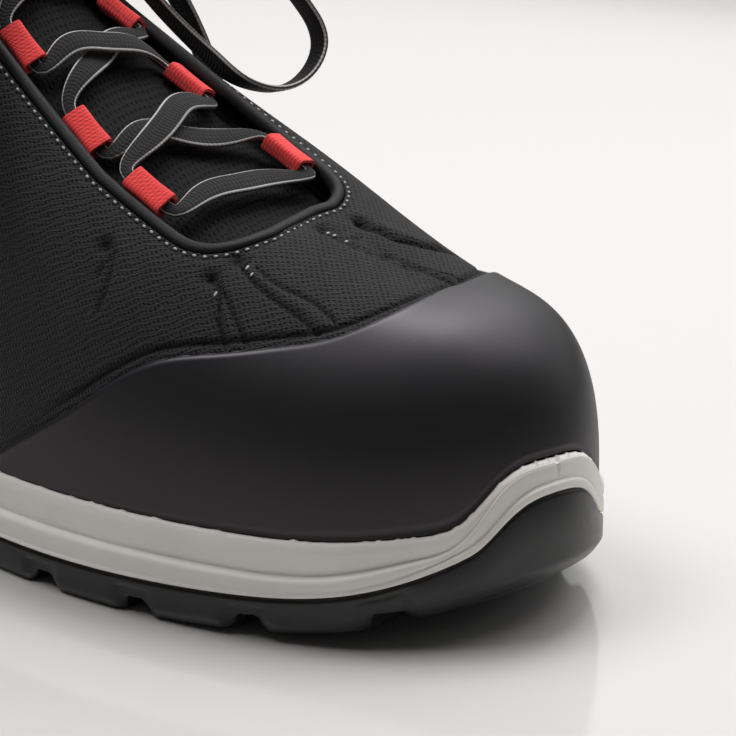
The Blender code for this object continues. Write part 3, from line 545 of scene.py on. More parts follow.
def smooth(value):
    """Ease from 0 to 1."""
    share = np.clip(value, 0.0, 1.0)
    return share * share * (3 - 2 * share)


def unit(vectors):
    """Rows scaled to length 1."""
    vectors = np.asarray(vectors, float)
    return vectors / np.linalg.norm(vectors, axis=-1, keepdims=True)


def blunt(value, power):
    """Value bent by a power, with its sign kept: below 1, a circle becomes a box with round corners."""
    return np.sign(value) * np.abs(value) ** power


def run_lengths(points):
    """Length along a line up to each of its points."""
    return np.concatenate(((0.0,), np.cumsum(np.linalg.norm(np.diff(points[:, :3], axis=0), axis=1))))


def across_to(vectors, along):
    """Rows made square to another direction, with length 1."""
    return unit(vectors - along * np.sum(vectors * along, axis=-1, keepdims=True))


def station_of(place):
    return np.where(place <= 1.0, place, 2.0 - place)


def spring(x):
    """Rise of the sole towards the toe."""
    share = (x - SPRING_START) / (HEEL_BACK + LENGTH - SPRING_START)
    return TOE_SPRING * np.maximum(share, 0.0) ** SPRING_POWER


def rib_points(place, angle):
    """Points of the last at an angle up each rib, with the hollow at the front of the crest filled."""
    foot_x, foot_y, crest_x, crest_y, crest_z, power = RIBS(place).T
    low = FLOOR + spring(foot_x)
    out = np.clip(np.cos(angle), 0.0, 1.0) ** (2 / power)
    rise = np.clip(np.sin(angle), 0.0, 1.0) ** (2 / power)
    hollow = CREST_EASE * np.log1p(np.exp((CREST_LEVEL - crest_z) / CREST_EASE))
    fill = hollow * (1 - smooth(out / CREST_FADE))
    x = crest_x + (foot_x - crest_x) * out
    y = crest_y + (foot_y - crest_y) * out
    return np.stack((x, y, low + (crest_z - low) * rise + fill), axis=1)


def one_side_normals(place, angle):
    along = rib_points(place + PLACE_STEP, angle) - rib_points(place - PLACE_STEP, angle)
    upward = rib_points(place, angle + ANGLE_STEP) - rib_points(place, np.maximum(angle - ANGLE_STEP, 0.0))
    return unit(np.cross(along, upward))


def normals(place, angle):
    """Outward normals of the last, shared by both sides at the crest."""
    place, angle = np.broadcast_arrays(np.asarray(place, float), np.asarray(angle, float))
    held = np.minimum(angle, HELD_ANGLE)
    own = one_side_normals(place, held)
    twin = one_side_normals(2.0 - place, held)
    share = 0.5 * smooth((np.degrees(angle) - SHARED_FROM) / SHARED_OVER)[:, None]
    return unit(own * (1 - share) + twin * share)


def spot_on_last(spot):
    """Point of the last at a place and an angle in degrees, its normal, and a point a step up its rib."""
    place, angle = np.full(1, spot.place), np.full(1, math.radians(spot.angle))
    return rib_points(place, angle)[0], normals(place, angle)[0], rib_points(place, angle + ANGLE_STEP)[0]


def angle_at_height(place, height):
    """Angle up each rib where it reaches a height."""
    foot_x, _, _, _, crest_z, power = RIBS(place).T
    low = FLOOR + spring(foot_x)
    share = np.clip((height - low) / (crest_z - low), 0.0, 1.0)
    return np.arcsin(share ** (power / 2))


def outline_normals(place):
    along = (RIBS(place + PLACE_STEP) - RIBS(place - PLACE_STEP))[:, :2]
    return unit(np.stack((along[:, 1], -along[:, 0], np.zeros(len(along))), axis=1))


def beside(place, height, offset):
    """Points level with a height, offset sideways from the last."""
    points = rib_points(place, angle_at_height(place, height))
    points[:, 2] = height
    return points + outline_normals(place) * np.reshape(offset, (-1, 1))


def throat_width(x):
    return np.interp(x, THROAT_TABLE[:, 0], THROAT_TABLE[:, 2])


def throat_half_width(x):
    """Half-width of the throat opening, rounded at its front."""
    share = np.clip((x - (THROAT_END_X - THROAT_ROUND)) / THROAT_ROUND, 0.0, 1.0)
    return throat_width(x) * (1 - share ** THROAT_POWER) ** (1 / THROAT_POWER)


def halved(function, low, high):
    """Where falling functions cross zero, by halving."""
    for _ in range(HALVINGS):
        middle = (low + high) / 2
        above = function(middle) > 0
        low = np.where(above, middle, low)
        high = np.where(above, high, middle)
    return (low + high) / 2


def angle_across(place, half_width):
    """Angle up each rib where it comes within a half-width of the throat's centre line."""
    place = np.atleast_1d(np.asarray(place, float))

    def outside(angle):
        x, y, _ = rib_points(place, angle).T
        return np.abs(y - np.interp(x, THROAT_TABLE[:, 0], THROAT_TABLE[:, 1])) - half_width(x)

    return halved(outside, np.zeros(len(place)), np.full(len(place), RIGHT_ANGLE))


def top_angle(place):
    """Angle of the upper's edge: collar behind, throat in the middle, crest in front."""
    place = np.atleast_1d(np.asarray(place, float))
    station = station_of(place)
    last_collar = COLLAR[-1].station
    collar = angle_at_height(place, COLLAR_CURVE(np.minimum(station, last_collar))[:, 0])
    throat = angle_across(place, throat_half_width)
    nearer = np.minimum(throat, collar)
    excess = np.exp(-COLLAR_ROUNDING * (throat - nearer)) + np.exp(-COLLAR_ROUNDING * (collar - nearer))
    rounded = nearer - np.log(excess) / COLLAR_ROUNDING
    top = np.where(station < THROAT_BACK, collar, np.where(station > last_collar, throat, rounded))
    return np.where(station >= THROAT_FRONT, RIGHT_ANGLE, top)


def guard_angle(place):
    """Angle of the guard's upper edge."""
    station = np.minimum(station_of(np.asarray(place, float)), GUARD_FRONT)
    return np.where(station < GUARD_FRONT, np.radians(GUARD_CURVE(station)[:, 0]), RIGHT_ANGLE)


def line_station(place):
    """Station of the sole's side lines, whose peak lies lateral of the toe's tip."""
    start, end = TOE_PEAK_FROM
    peak = 1.0 - TOE_PEAK * smooth((station_of(place) - start) / (end - start))
    return 1.0 - np.abs(place - peak)


def rim_angle(place):
    return angle_at_height(place, LINES(line_station(place))[:, 2] + GAP)


def foot_angle(place):
    return angle_at_height(place, FLOOR + spring(RIBS(place)[:, 0]) + GAP)


def padding(place, angle):
    """Extra thickness inside the collar."""
    height = rib_points(place, angle)[:, 2]
    back = smooth((PADDING_FROM - station_of(place)) / PADDING_REACH)
    return PADDING * back * smooth((height - PADDING_LOW) / PADDING_RISE)


def station_at_crest(x):
    """Station whose crest lies at x."""
    low = np.full(1, CREST_FROM)
    return float(halved(lambda station: x - RIBS(station)[:, 2], low, np.full(1, 1.0))[0])


def over(x, y, lift):
    """Point above the instep, with the last's normal there."""
    station = station_at_crest(x)
    crest_y = RIBS(station)[0, 3]
    place = np.full(1, station if y < crest_y else 2.0 - station)

    def wide(angle):
        return np.abs(rib_points(place, angle)[:, 1] - crest_y) - abs(y - crest_y)

    angle = halved(wide, np.zeros(1), np.full(1, RIGHT_ANGLE))
    out = normals(place, angle)[0]
    return rib_points(place, angle)[0] + out * lift, out


def spaced(spans):
    """Values over consecutive spans."""
    parts = [np.linspace(span.start, span.end, span.steps + 1)[1:] for span in spans]
    return np.concatenate(([spans[0].start], *parts))


def gathered(stations, end, steps):
    """Stations carried on to an end, closer and closer together."""
    span = end - stations[-1]
    return np.concatenate((stations, end - span * np.linspace(1.0, 0.0, steps + 1)[1:] ** 2))


def ring(stations):
    """Places from the heel along the lateral side to the toe and back along the medial side."""
    return np.concatenate((stations, (2.0 - stations[::-1])[1:]))


def route_of(places_and_angles):
    """Points of the last along a table of places and angles in degrees."""
    table = np.array(places_and_angles, float)
    corners = rib_points(table[:, 0], np.radians(table[:, 1]))
    return sample_route(corners, 1.0)


def sample_route(points, step):
    """Points every step along a smooth curve through a route."""
    route = np.array(points, float)
    knots = run_lengths(route)
    count = max(int(round(knots[-1] / step)), 2)
    return Spline(knots, route)(np.linspace(0.0, knots[-1], count + 1))


def even_route(points, step):
    """Points an even step apart along a dense line."""
    lengths = run_lengths(points)
    at = np.linspace(0.0, lengths[-1], max(int(round(lengths[-1] / step)), 2) + 1)
    return np.stack([np.interp(at, lengths, column) for column in points.T], axis=1)


def distance_to(points, line):
    """Distance of each point from the nearest point of a dense line."""
    tree = KDTree(len(line))
    for i, spot in enumerate(line):
        tree.insert(spot, i)
    tree.balance()
    return np.array([tree.find(point)[2] for point in points])


def guard_edge_line():
    """Guard's upper edge on the last, from the lateral rear over the crest to the medial rear."""
    places = ring(spaced(GUARD_EDGE_SPANS))
    return rib_points(places, guard_angle(places))


def upper_edge():
    """Closed line of the upper's top edge with its normals, evenly spaced round the throat and collar."""
    places = ring(spaced(EDGE_SPANS))
    angles = top_angle(places)
    rows = np.hstack((rib_points(places, angles), normals(places, angles),
                      WALL + padding(places, angles)[:, None]))
    return even_route(rows, EDGE_STEP)


def to_row(points):
    """Points in the row frame, in metres."""
    return (np.asarray(points) - CENTRE) * MM


def read_points(mesh):
    flat = np.empty(len(mesh.vertices) * 3)
    mesh.vertices.foreach_get("co", flat)
    return flat.reshape(-1, 3)


def mesh_of(bm, name):
    """Mesh of a finished bmesh."""
    mesh = bpy.data.meshes.new(name)
    bm.to_mesh(mesh)
    bm.free()
    return mesh


def mapped_grid(name, columns, rows, shape):
    """Mesh on a grid whose corners a function places and unrolls, both in millimetres.

    The function may also say how deep each corner lies in a crease, or how near an edge it is, as a mask for
    painted shade or a painted highlight.
    """
    bm = bmesh.new()
    bmesh.ops.create_grid(bm, x_segments=columns, y_segments=rows, size=1.0)
    mesh = mesh_of(bm, name)
    flat = read_points(mesh)
    low = flat.min(axis=0)
    share = (flat - low)[:, :2] / (flat.max(axis=0) - low)[:2]
    made = shape(np.rint(share[:, 0] * columns).astype(int), np.rint(share[:, 1] * rows).astype(int))
    points, cloth = made[:2]
    hollow = made[2] if len(made) > 2 else np.zeros(len(points))
    mesh.vertices.foreach_set("co", to_row(points).ravel())
    mesh.attributes.new("hollow", "FLOAT", "POINT").data.foreach_set("value", np.asarray(hollow, np.float32))
    corners = np.empty(len(mesh.loops), np.int32)
    mesh.loops.foreach_get("vertex_index", corners)
    layer = mesh.uv_layers.new(name="cloth")
    layer.data.foreach_set("uv", np.asarray(cloth, float)[corners].ravel())
    return mesh


def joined(name, meshes):
    """One closed mesh of several, with the corners that meet merged and its faces turned outwards."""
    bm = bmesh.new()
    for mesh in meshes:
        bm.from_mesh(mesh)
        bpy.data.meshes.remove(mesh)
    bmesh.ops.remove_doubles(bm, verts=bm.verts, dist=MERGE)
    bmesh.ops.dissolve_degenerate(bm, edges=bm.edges, dist=SLIVER)
    bmesh.ops.recalc_face_normals(bm, faces=bm.faces)
    return mesh_of(bm, name)


def shell_mesh(name, columns, rows, outer, inner, borders, lining=0, coarser=1):
    """Closed shell of an outer and a coarser inner sheet, joined by strips along its borders.

    The inner sheet has the material with the number of the lining.
    """
    outside_sheet = mapped_grid(name, columns, rows, outer)
    inside_sheet = mapped_grid(name, columns, rows // coarser, lambda i, j: inner(i, j * coarser))
    numbers = np.full(len(inside_sheet.polygons), lining, np.int32)
    inside_sheet.polygons.foreach_set("material_index", numbers)
    meshes = [outside_sheet, inside_sheet]
    for border_i, border_j in borders:
        meshes.append(mapped_grid(name, len(border_i) - 1, 2, border_strip(outer, inner, border_i, border_j)))
    return joined(name, meshes)


def border_strip(outer, inner, border_i, border_j):
    """Strip from the outer to the inner sheet along a border."""
    def shape(i, j):
        first, cloth = outer(border_i[i], border_j[i])[:2]
        second = inner(border_i[i], border_j[i])[0]
        share = (j / 2)[:, None]
        return first * (1 - share) + second * share, cloth

    return shape


def all_round(columns, rows):
    """The four borders of a grid."""
    across, up = np.arange(columns + 1), np.arange(rows + 1)
    return [(across, np.zeros_like(across)), (across, np.full_like(across, rows)),
            (np.zeros_like(up), up), (np.full_like(up, columns), up)]


def open_borders(columns, rows, front):
    """Borders of a grid round the shoe: its foot, and its top on both sides up to a column in front."""
    foot = np.arange(columns + 1)
    lateral, medial = foot[:front + 1], foot[columns - front:]
    return [(foot, np.zeros_like(foot))] + [(top, np.full_like(top, rows)) for top in (lateral, medial)]


def add_piece(name, mesh, finishes, nodes=(), sharp=None):
    """Finished piece on the shoe's one body, standing for CAD nodes."""
    mesh.shade_smooth()
    if sharp is not None:
        mesh.set_sharp_from_angle(angle=math.radians(sharp))
    for finish in finishes:
        mesh.materials.append(finish)
    piece = bpy.data.objects.new(name, mesh)
    bpy.context.collection.objects.link(piece)
    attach(piece, BODY)
    if nodes:
        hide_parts(*nodes)
    return piece


class Wire:
    """Value of a shader socket, for sums in Python."""

    def __init__(self, tree, socket):
        self.tree = tree
        self.socket = socket

    def combine(self, operation, *values):
        """Math node over values and wires."""
        node = self.tree.nodes.new("ShaderNodeMath")
        node.operation = operation
        for place, value in enumerate(values):
            if isinstance(value, Wire):
                self.tree.links.new(value.socket, node.inputs[place])
            else:
                node.inputs[place].default_value = value
        return Wire(self.tree, node.outputs[0])

    def math(self, operation, *others):
        return self.combine(operation, self, *others)

    def __add__(self, other):
        return self.math("ADD", other)

    def __radd__(self, other):
        return self.math("ADD", other)

    def __sub__(self, other):
        return self.math("SUBTRACT", other)

    def __rsub__(self, other):
        return self.combine("SUBTRACT", other, self)

    def __mul__(self, other):
        return self.math("MULTIPLY", other)

    def __rmul__(self, other):
        return self.math("MULTIPLY", other)

    def __truediv__(self, other):
        return self.math("DIVIDE", other)

    def __pow__(self, other):
        return self.math("POWER", other)

    def wave(self, pitch):
        """Sine over the value, between 0 and 1."""
        return (self * (2 * math.pi / pitch)).math("SINE") * 0.5 + 0.5

    def band(self, centre, half, soft):
        """1 within half of a centre, easing to 0 over a soft border."""
        away = (self - centre).math("ABSOLUTE")
        return ((half + soft - away) / soft).held()

    def held(self):
        """Value held between 0 and 1."""
        return self.math("MINIMUM", 1.0).math("MAXIMUM", 0.0)


class Finish:
    """Node material of one finish."""

    def __init__(self, name, **uniform):
        self.material = bpy.data.materials.new(name)
        self.material.use_nodes = True
        self.tree = self.material.node_tree
        self.shader = self.tree.nodes["Principled BSDF"]
        for socket, value in uniform.items():
            self.shader.inputs[socket.replace("_", " ")].default_value = value

    def node(self, kind, settings, sockets, output=0):
        """Output of a new node with its settings and the values or links of its sockets."""
        made = self.tree.nodes.new(kind)
        for key, value in settings.items():
            setattr(made, key, value)
        for key, value in sockets.items():
            if isinstance(value, Wire):
                self.tree.links.new(value.socket, made.inputs[key])
            else:
                made.inputs[key].default_value = value
        return Wire(self.tree, made.outputs[output])

    def cloth(self):
        """Unrolled coordinates of a piece, along and across, in millimetres."""
        spot = self.node("ShaderNodeUVMap", {"uv_map": "cloth"}, {})
        return [self.node("ShaderNodeSeparateXYZ", {}, {0: spot}, place) for place in (0, 1)]

    def hollow(self):
        """How deep a crease or how near an edge is, from 0 to 1: the mask of the knit's painted crease shade
        and of the guard's painted edge highlight.
        """
        return self.node("ShaderNodeAttribute", {"attribute_name": "hollow"}, {}, 2)

    def place(self):
        return self.node("ShaderNodeTexCoord", {}, {}, 3)

    def noise(self, scale, detail=2.0, rough=0.5):
        """Noise value between 0 and 1, with a scale per metre."""
        sockets = {"Vector": self.place(), "Scale": scale, "Detail": detail, "Roughness": rough}
        return self.node("ShaderNodeTexNoise", {}, sockets)

    def mix(self, share, first, second):
        """Mix of two colours."""
        settings = {"data_type": "RGBA", "blend_type": "MIX"}
        return self.node("ShaderNodeMix", settings, {0: share, 6: first, 7: second}, 2)

    def bump(self, height, depth):
        """Normals of a height between 0 and 1 that is a depth of millimetres."""
        sockets = {"Strength": 1.0, "Distance": depth * MM, "Height": height}
        return self.node("ShaderNodeBump", {}, sockets)

    def feed(self, **sockets):
        for key, value in sockets.items():
            self.tree.links.new(value.socket, self.shader.inputs[key.replace("_", " ")])
        return self.material


def shade(colour, factor):
    """Colour made lighter or darker."""
    return tuple(min(channel * factor, 1.0) for channel in colour[:3]) + (1.0,)


def knit_finish(colours):
    """Knit with slanting rows of small dimples, with painted shade in the dimples and in its creases."""
    finish = Finish("knit", Specular_IOR_Level=0.22, Sheen_Weight=0.08, Sheen_Roughness=0.4)
    along, girth = finish.cloth()
    wander = finish.noise(300.0, 2.0) - 0.5
    along = along + wander * 1.5
    girth = girth - wander * 1.1
    gap = finish.noise(760.0, 2.0) * 1.9 + 0.05
    dimple = ((along + girth).wave(KNIT_PITCH) * (along - girth * 0.92).wave(KNIT_PITCH)) ** 1.3 * gap
    yarn = (along * 0.9 - girth).wave(KNIT_YARN)
    fluff = finish.noise(2600.0, 3.0)
    patch = finish.noise(70.0, 3.0)
    height = (1 - dimple) * 0.66 + yarn * 0.20 + fluff * 0.28
    base = colours.knit
    # The colour follows the height, so the knit's small dimples are painted darker as shade; the patches and
    # fluff are random tone.
    tone = height ** 1.6 * (patch * 0.6 + 0.7)
    colour = finish.mix(tone.math("MINIMUM", 1.0), shade(base, 0.16), shade(base, 2.0))
    # Painted shade: the colour falls to near-black in the creases, the dimples and the groove beside the
    # guard.
    crease_shaded = finish.mix(finish.hollow() * 0.85, colour, shade(base, 0.12))
    relief = finish.bump(height, KNIT_DEPTH)
    return finish.feed(Base_Color=crease_shaded, Roughness=fluff * 0.12 + 0.78, Normal=relief)


def lining_finish(colours):
    """Coarse spacer mesh with rows of small holes, painted darker as shade."""
    finish = Finish("lining", Specular_IOR_Level=0.2)
    along, girth = finish.cloth()
    wander = finish.noise(330.0, 2.0) - 0.5
    along = along + wander * 1.2
    holes = along.wave(LINING_ROWS) * (girth + along * 0.5 - wander * 0.9).wave(LINING_HOLES)
    depth = finish.noise(700.0, 2.0) * 1.6 + 0.1
    pit = ((holes * 1.9 - 0.5) * depth).held()
    fluff = finish.noise(2000.0, 3.0)
    base = colours.lining
    # Painted shade: the holes are darker in colour, with random fluff in the tone.
    tone = (1 - pit) * 0.55 + fluff * 0.7 - 0.1
    colour = finish.mix(tone.held(), shade(base, 0.35), shade(base, 1.6))
    relief = finish.bump((1 - pit) * 0.7 + fluff * 0.5, LINING_DEPTH)
    return finish.feed(Base_Color=colour, Roughness=fluff * 0.15 + 0.75, Normal=relief)


def guard_finish(colours):
    """Smooth moulded skin with a very fine grain, faint smears and a smoother edge, lightened as a painted
    highlight.
    """
    finish = Finish("guard", Specular_IOR_Level=0.62, Specular_Tint=(1.0, 0.95, 1.0, 1.0))
    grain = finish.noise(1900.0, 3.0, 0.6)
    smear = finish.noise(38.0, 3.0)
    edge = finish.hollow()
    base = colours.guard
    colour = finish.mix(smear, shade(base, 0.85), shade(base, 1.18))
    # Painted highlight: the colour is lightened along the upper edge as a glint on its chamfer.
    edge_glint = finish.mix(edge * 0.7, colour, shade(base, 4.0))
    rough = smear * 0.10 + grain * 0.06 + 0.38 - edge * 0.12
    return finish.feed(Base_Color=edge_glint, Roughness=rough, Normal=finish.bump(grain, GUARD_GRAIN_DEPTH))


def foam_finish(colours):
    """Moulded foam skin with faint speckle and grey dust."""
    finish = Finish("foam", Specular_IOR_Level=0.4)
    grain = finish.noise(1400.0, 3.0, 0.6)
    cloud = finish.noise(45.0, 4.0, 0.6)
    base = colours.foam
    colour = finish.mix(cloud, shade(base, 0.88), shade(base, 1.08))
    rough = cloud * 0.2 + 0.42
    return finish.feed(Base_Color=colour, Roughness=rough, Normal=finish.bump(grain, MOULD_GRAIN_DEPTH))


def rubber_finish(colours):
    """Moulded rubber, satin with dusty scuffs."""
    finish = Finish("rubber", Specular_IOR_Level=0.5)
    grain = finish.noise(1700.0, 3.0, 0.6)
    dust = finish.noise(70.0, 5.0, 0.65)
    scuff = (dust * 3.0 - 1.5).held()
    base = colours.rubber
    colour = finish.mix(scuff, base, shade(base, 2.1))
    rough = scuff * 0.22 + grain * 0.06 + 0.30
    return finish.feed(Base_Color=colour, Roughness=rough, Normal=finish.bump(grain, MOULD_GRAIN_DEPTH))


def binding_finish(colours):
    """Smooth satin edging with a faint slanting weave."""
    finish = Finish("binding", Specular_IOR_Level=0.25)
    along, girth = finish.cloth()
    ribs = (along + girth * 0.7).wave(BINDING_RIB)
    fluff = finish.noise(1500.0, 3.0)
    base = colours.binding
    colour = finish.mix(ribs * 0.5 + fluff * 0.5, shade(base, 0.8), shade(base, 1.2))
    relief = finish.bump(ribs * 0.6 + fluff * 0.4, BINDING_DEPTH)
    return finish.feed(Base_Color=colour, Roughness=fluff * 0.15 + 0.46, Normal=relief)


def webbing_finish(colours):
    """Woven webbing with fine ribs across it."""
    finish = Finish("webbing", Specular_IOR_Level=0.25, Sheen_Weight=0.15)
    along, girth = finish.cloth()
    ribs = girth.wave(WEBBING_RIB)
    warp = (along + girth * 0.5).wave(WEBBING_WARP)
    fluff = finish.noise(2600.0, 2.0)
    base = colours.webbing
    height = ribs * 0.45 + warp * 0.30 + fluff * 0.35
    colour = finish.mix(height, shade(base, 0.66), shade(base, 1.12))
    relief = finish.bump(height, WEAVE_DEPTH)
    return finish.feed(Base_Color=colour, Roughness=fluff * 0.1 + 0.66, Normal=relief)


def lace_finish(colours):
    """Ribbed flat lace with a light thread along both edges."""
    finish = Finish("lace", Specular_IOR_Level=0.3, Sheen_Weight=0.10)
    along, girth = finish.cloth()
    side = girth.math("ABSOLUTE")
    thread = side.band(*EDGE_THREAD)
    ribs = (along + side * 0.8).wave(LACE_RIB)
    cords = girth.wave(LACE_CORD)
    fluff = finish.noise(2600.0, 2.0)
    weave = finish.mix(ribs * 0.6 + fluff * 0.4, shade(colours.lace, 0.5), shade(colours.lace, 1.6))
    colour = finish.mix(thread, weave, colours.thread)
    height = ribs * 0.55 + cords * 0.35 + thread * 0.3
    rough = 0.80 - thread * 0.35
    return finish.feed(Base_Color=colour, Roughness=rough, Normal=finish.bump(height, WEAVE_DEPTH))


def thread_finish(colours):
    """Twisted light thread."""
    finish = Finish("thread", Specular_IOR_Level=0.5)
    twist = finish.noise(3000.0, 2.0)
    colour = finish.mix(twist, shade(colours.thread, 0.6), shade(colours.thread, 1.1))
    return finish.feed(Base_Color=colour, Roughness=twist * 0.2 + 0.35)


def tip_finish(colours):
    """Hard clear-coated lace tip."""
    finish = Finish("lace_tip", Coat_Weight=0.4, Coat_Roughness=0.15)
    fleck = finish.noise(900.0, 2.0)
    colour = finish.mix(fleck, shade(colours.lace, 0.6), shade(colours.lace, 1.3))
    return finish.feed(Base_Color=colour, Roughness=fleck * 0.1 + 0.28)


def floor_finish(colours):
    """Pale, slightly glossy studio floor."""
    finish = Finish("floor", Specular_IOR_Level=0.8)
    cloud = finish.noise(2.0, 2.0)
    colour = finish.mix(cloud, shade(colours.floor, 0.985), shade(colours.floor, 1.01))
    return finish.feed(Base_Color=colour, Roughness=cloud * 0.04 + 0.06)


FINISHES = {
    "knit": knit_finish,
    "lining": lining_finish,
    "guard": guard_finish,
    "foam": foam_finish,
    "rubber": rubber_finish,
    "binding": binding_finish,
    "webbing": webbing_finish,
    "lace": lace_finish,
    "thread": thread_finish,
    "tip": tip_finish,
    "floor": floor_finish,
}
MADE = {}


def finish_of(name):
    """Material of a named finish, made once."""
    if name not in MADE:
        MADE[name] = FINISHES[name](bpy.context.scene.shoe_colours)
    return MADE[name]


def colour_property(name, description, default):
    return bpy.props.FloatVectorProperty(
        name=name, description=description, default=default + (1.0,), size=4,
        min=0.0, max=1.0, subtype="COLOR")


class ShoeColours(bpy.types.PropertyGroup):
    """Base colours of the finishes."""

    knit: colour_property("Knit", "Knit of the upper", (0.0170, 0.0160, 0.0165))
    lining: colour_property("Lining", "Mesh of the tongue and the inside", (0.0066, 0.0061, 0.0063))
    guard: colour_property("Guard", "Moulded skin over the toe", (0.0052, 0.0048, 0.0058))
    foam: colour_property("Foam", "Midsole", (0.90, 0.865, 0.825))
    rubber: colour_property("Rubber", "Outsole", (0.010, 0.0095, 0.0095))
    binding: colour_property("Binding", "Edging of the throat and collar", (0.0095, 0.0082, 0.0099))
    webbing: colour_property("Webbing", "Lace loops", (0.90, 0.055, 0.052))
    lace: colour_property("Lace", "Lace between its edge threads", (0.0066, 0.0062, 0.0066))
    thread: colour_property("Thread", "Edge threads and stitches", (0.50, 0.49, 0.48))
    floor: colour_property("Floor", "Studio floor", (0.735, 0.716, 0.705))


class ShoeSizes(bpy.types.PropertyGroup):
    """Sizes of the details, in millimetres unless they say otherwise."""

    stitch_length: bpy.props.FloatProperty(
        name="Stitch length", description="Length of one stitch beside the binding",
        default=1.05, min=0.5, max=5.0)
    stitch_pitch: bpy.props.FloatProperty(
        name="Stitch pitch", description="Distance between stitches", default=2.45, min=1.0, max=8.0)
    stitch_width: bpy.props.FloatProperty(
        name="Stitch width", description="Width of one stitch", default=0.66, min=0.2, max=2.0)
    guard_skin: bpy.props.FloatProperty(
        name="Guard skin", description="Rise of the guard over the knit", default=1.1, min=0.4, max=3.0)
    lens: bpy.props.FloatProperty(
        name="Lens", description="Focal length on a 36 mm sensor", default=138.4, min=20.0, max=400.0)
    distance: bpy.props.FloatProperty(
        name="Camera distance", description="Distance of the camera from its target",
        default=0.640, min=0.2, max=5.0, unit="LENGTH")


def ribbon_mesh(name, points, flats, widths):
    """Closed flat lace along points, facing along flats."""
    tangents = unit(np.gradient(points, axis=0))
    out = across_to(flats, tangents)
    side = np.cross(tangents, out)
    lengths = run_lengths(points)
    turns = np.linspace(0.0, 2 * math.pi, LACE_SIDES + 1)
    across = blunt(np.cos(turns), LACE_EDGE_BLUNT)
    up = blunt(np.sin(turns), LACE_FACE_BLUNT)
    last = len(points) - 1

    def shape(i, j):
        row = np.clip(j - 1, 0, last)
        closing = np.where((j == 0) | (j == last + 2), 0.0, 1.0)
        half = widths[row] / 2 * closing
        rise = LACE_THICKNESS / 2 * closing
        spot = points[row] + side[row] * (across[i] * half)[:, None] + out[row] * (up[i] * rise)[:, None]
        return spot, np.stack((lengths[row], across[i]), axis=1)

    return joined(name, [mapped_grid(name, LACE_SIDES, last + 2, shape)])


def knot_frame():
    """Middle of the knot on the tongue, and its axes along the lace, across and out."""
    station = station_at_crest(KNOT_X)
    out = normals(np.full(1, station), np.full(1, RIGHT_ANGLE))[0]
    sideways = np.array((0.0, 1.0, 0.0))
    return RIBS(station)[0, 2:5] + out * KNOT_LIFT, np.array((np.cross(sideways, out), sideways, out))


def from_knot(point):
    """Point just clear of the knot, on the line from its middle."""
    centre, axes = knot_frame()
    ray = np.asarray(point) - centre
    depth = np.linalg.norm(axes @ ray / (np.array(KNOT_SIZE) / 2))
    return centre + ray / depth + unit(ray) * KNOT_CLEAR


def cord_route(cord):
    """Dense middle line of a free lace."""
    points = [np.array(point) for point in cord.points]
    points[0] = from_knot(points[0])
    if cord.returns:
        points[-1] = from_knot(points[-1])
    return even_route(sample_route(sample_route(points, CORD_STEP), CORD_FINE_STEP), CORD_ROW_STEP)


def lace_widths(lengths, returns):
    """Width of a free lace: narrow at the knot, and rolled into a tip at a free end."""
    away = np.minimum(lengths, lengths[-1] - lengths) if returns else lengths
    widths = LACE_PINCHED + (LACE_WIDTH - LACE_PINCHED) * smooth(away / LACE_OPENS)
    if not returns:
        tip = smooth((lengths - (lengths[-1] - TIP_START)) / TIP_TAPER)
        widths = widths + (TIP_WIDTH - widths) * tip
    return widths


class SHOE_OT_stage(bpy.types.Operator):
    """Make the floor, the soft lights and the camera"""

    bl_idname = "shoe.stage"
    bl_label = "Stage"

    def execute(self, context):
        self.add_floor(context)
        for light in LIGHTS:
            self.add_light(context, light)
        world = bpy.data.worlds.new("studio")
        world.use_nodes = True
        sky = world.node_tree.nodes["Background"].inputs
        sky["Color"].default_value = WORLD_COLOUR
        sky["Strength"].default_value = WORLD_STRENGTH
        context.scene.world = world
        self.add_camera(context)
        context.scene.view_settings.view_transform = "Standard"
        return {"FINISHED"}

    @staticmethod
    def add_floor(context):
        bm = bmesh.new()
        bmesh.ops.create_grid(bm, x_segments=FLOOR_CELLS, y_segments=FLOOR_CELLS, size=FLOOR_HALF)
        bmesh.ops.translate(bm, verts=bm.verts, vec=(0.0, 0.0, -FLOOR_DROP))
        mesh = mesh_of(bm, "studio_floor")
        mesh.materials.append(finish_of("floor"))
        floor = bpy.data.objects.new("studio_floor", mesh)
        context.collection.objects.link(floor)

    @staticmethod
    def add_light(context, light):
        lamp = bpy.data.lights.new(light.name, "AREA")
        lamp.shape = "RECTANGLE"
        lamp.size, lamp.size_y = light.size
        lamp.energy = light.power
        placed = bpy.data.objects.new(light.name, lamp)
        placed.location = light.spot
        aim = Vector(light.aim) - Vector(light.spot)
        placed.rotation_euler = aim.to_track_quat("-Z", "Y").to_euler()
        context.collection.objects.link(placed)

    @staticmethod
    def add_camera(context):
        sizes = context.scene.shoe_sizes
        azimuth, elevation = (math.radians(angle) for angle in VIEW_ANGLES)
        level = math.cos(elevation)
        back = Vector((math.sin(azimuth) * level, -math.cos(azimuth) * level, math.sin(elevation)))
        lens = bpy.data.cameras.new("camera")
        lens.lens = sizes.lens
        lens.sensor_width = SENSOR
        lens.shift_x, lens.shift_y = VIEW_SHIFT
        camera = bpy.data.objects.new("camera", lens)
        camera.location = Vector(to_row(VIEW_TARGET)) + back * sizes.distance
        camera.rotation_euler = (-back).to_track_quat("-Z", "Y").to_euler()
        context.collection.objects.link(camera)
        context.scene.camera = camera


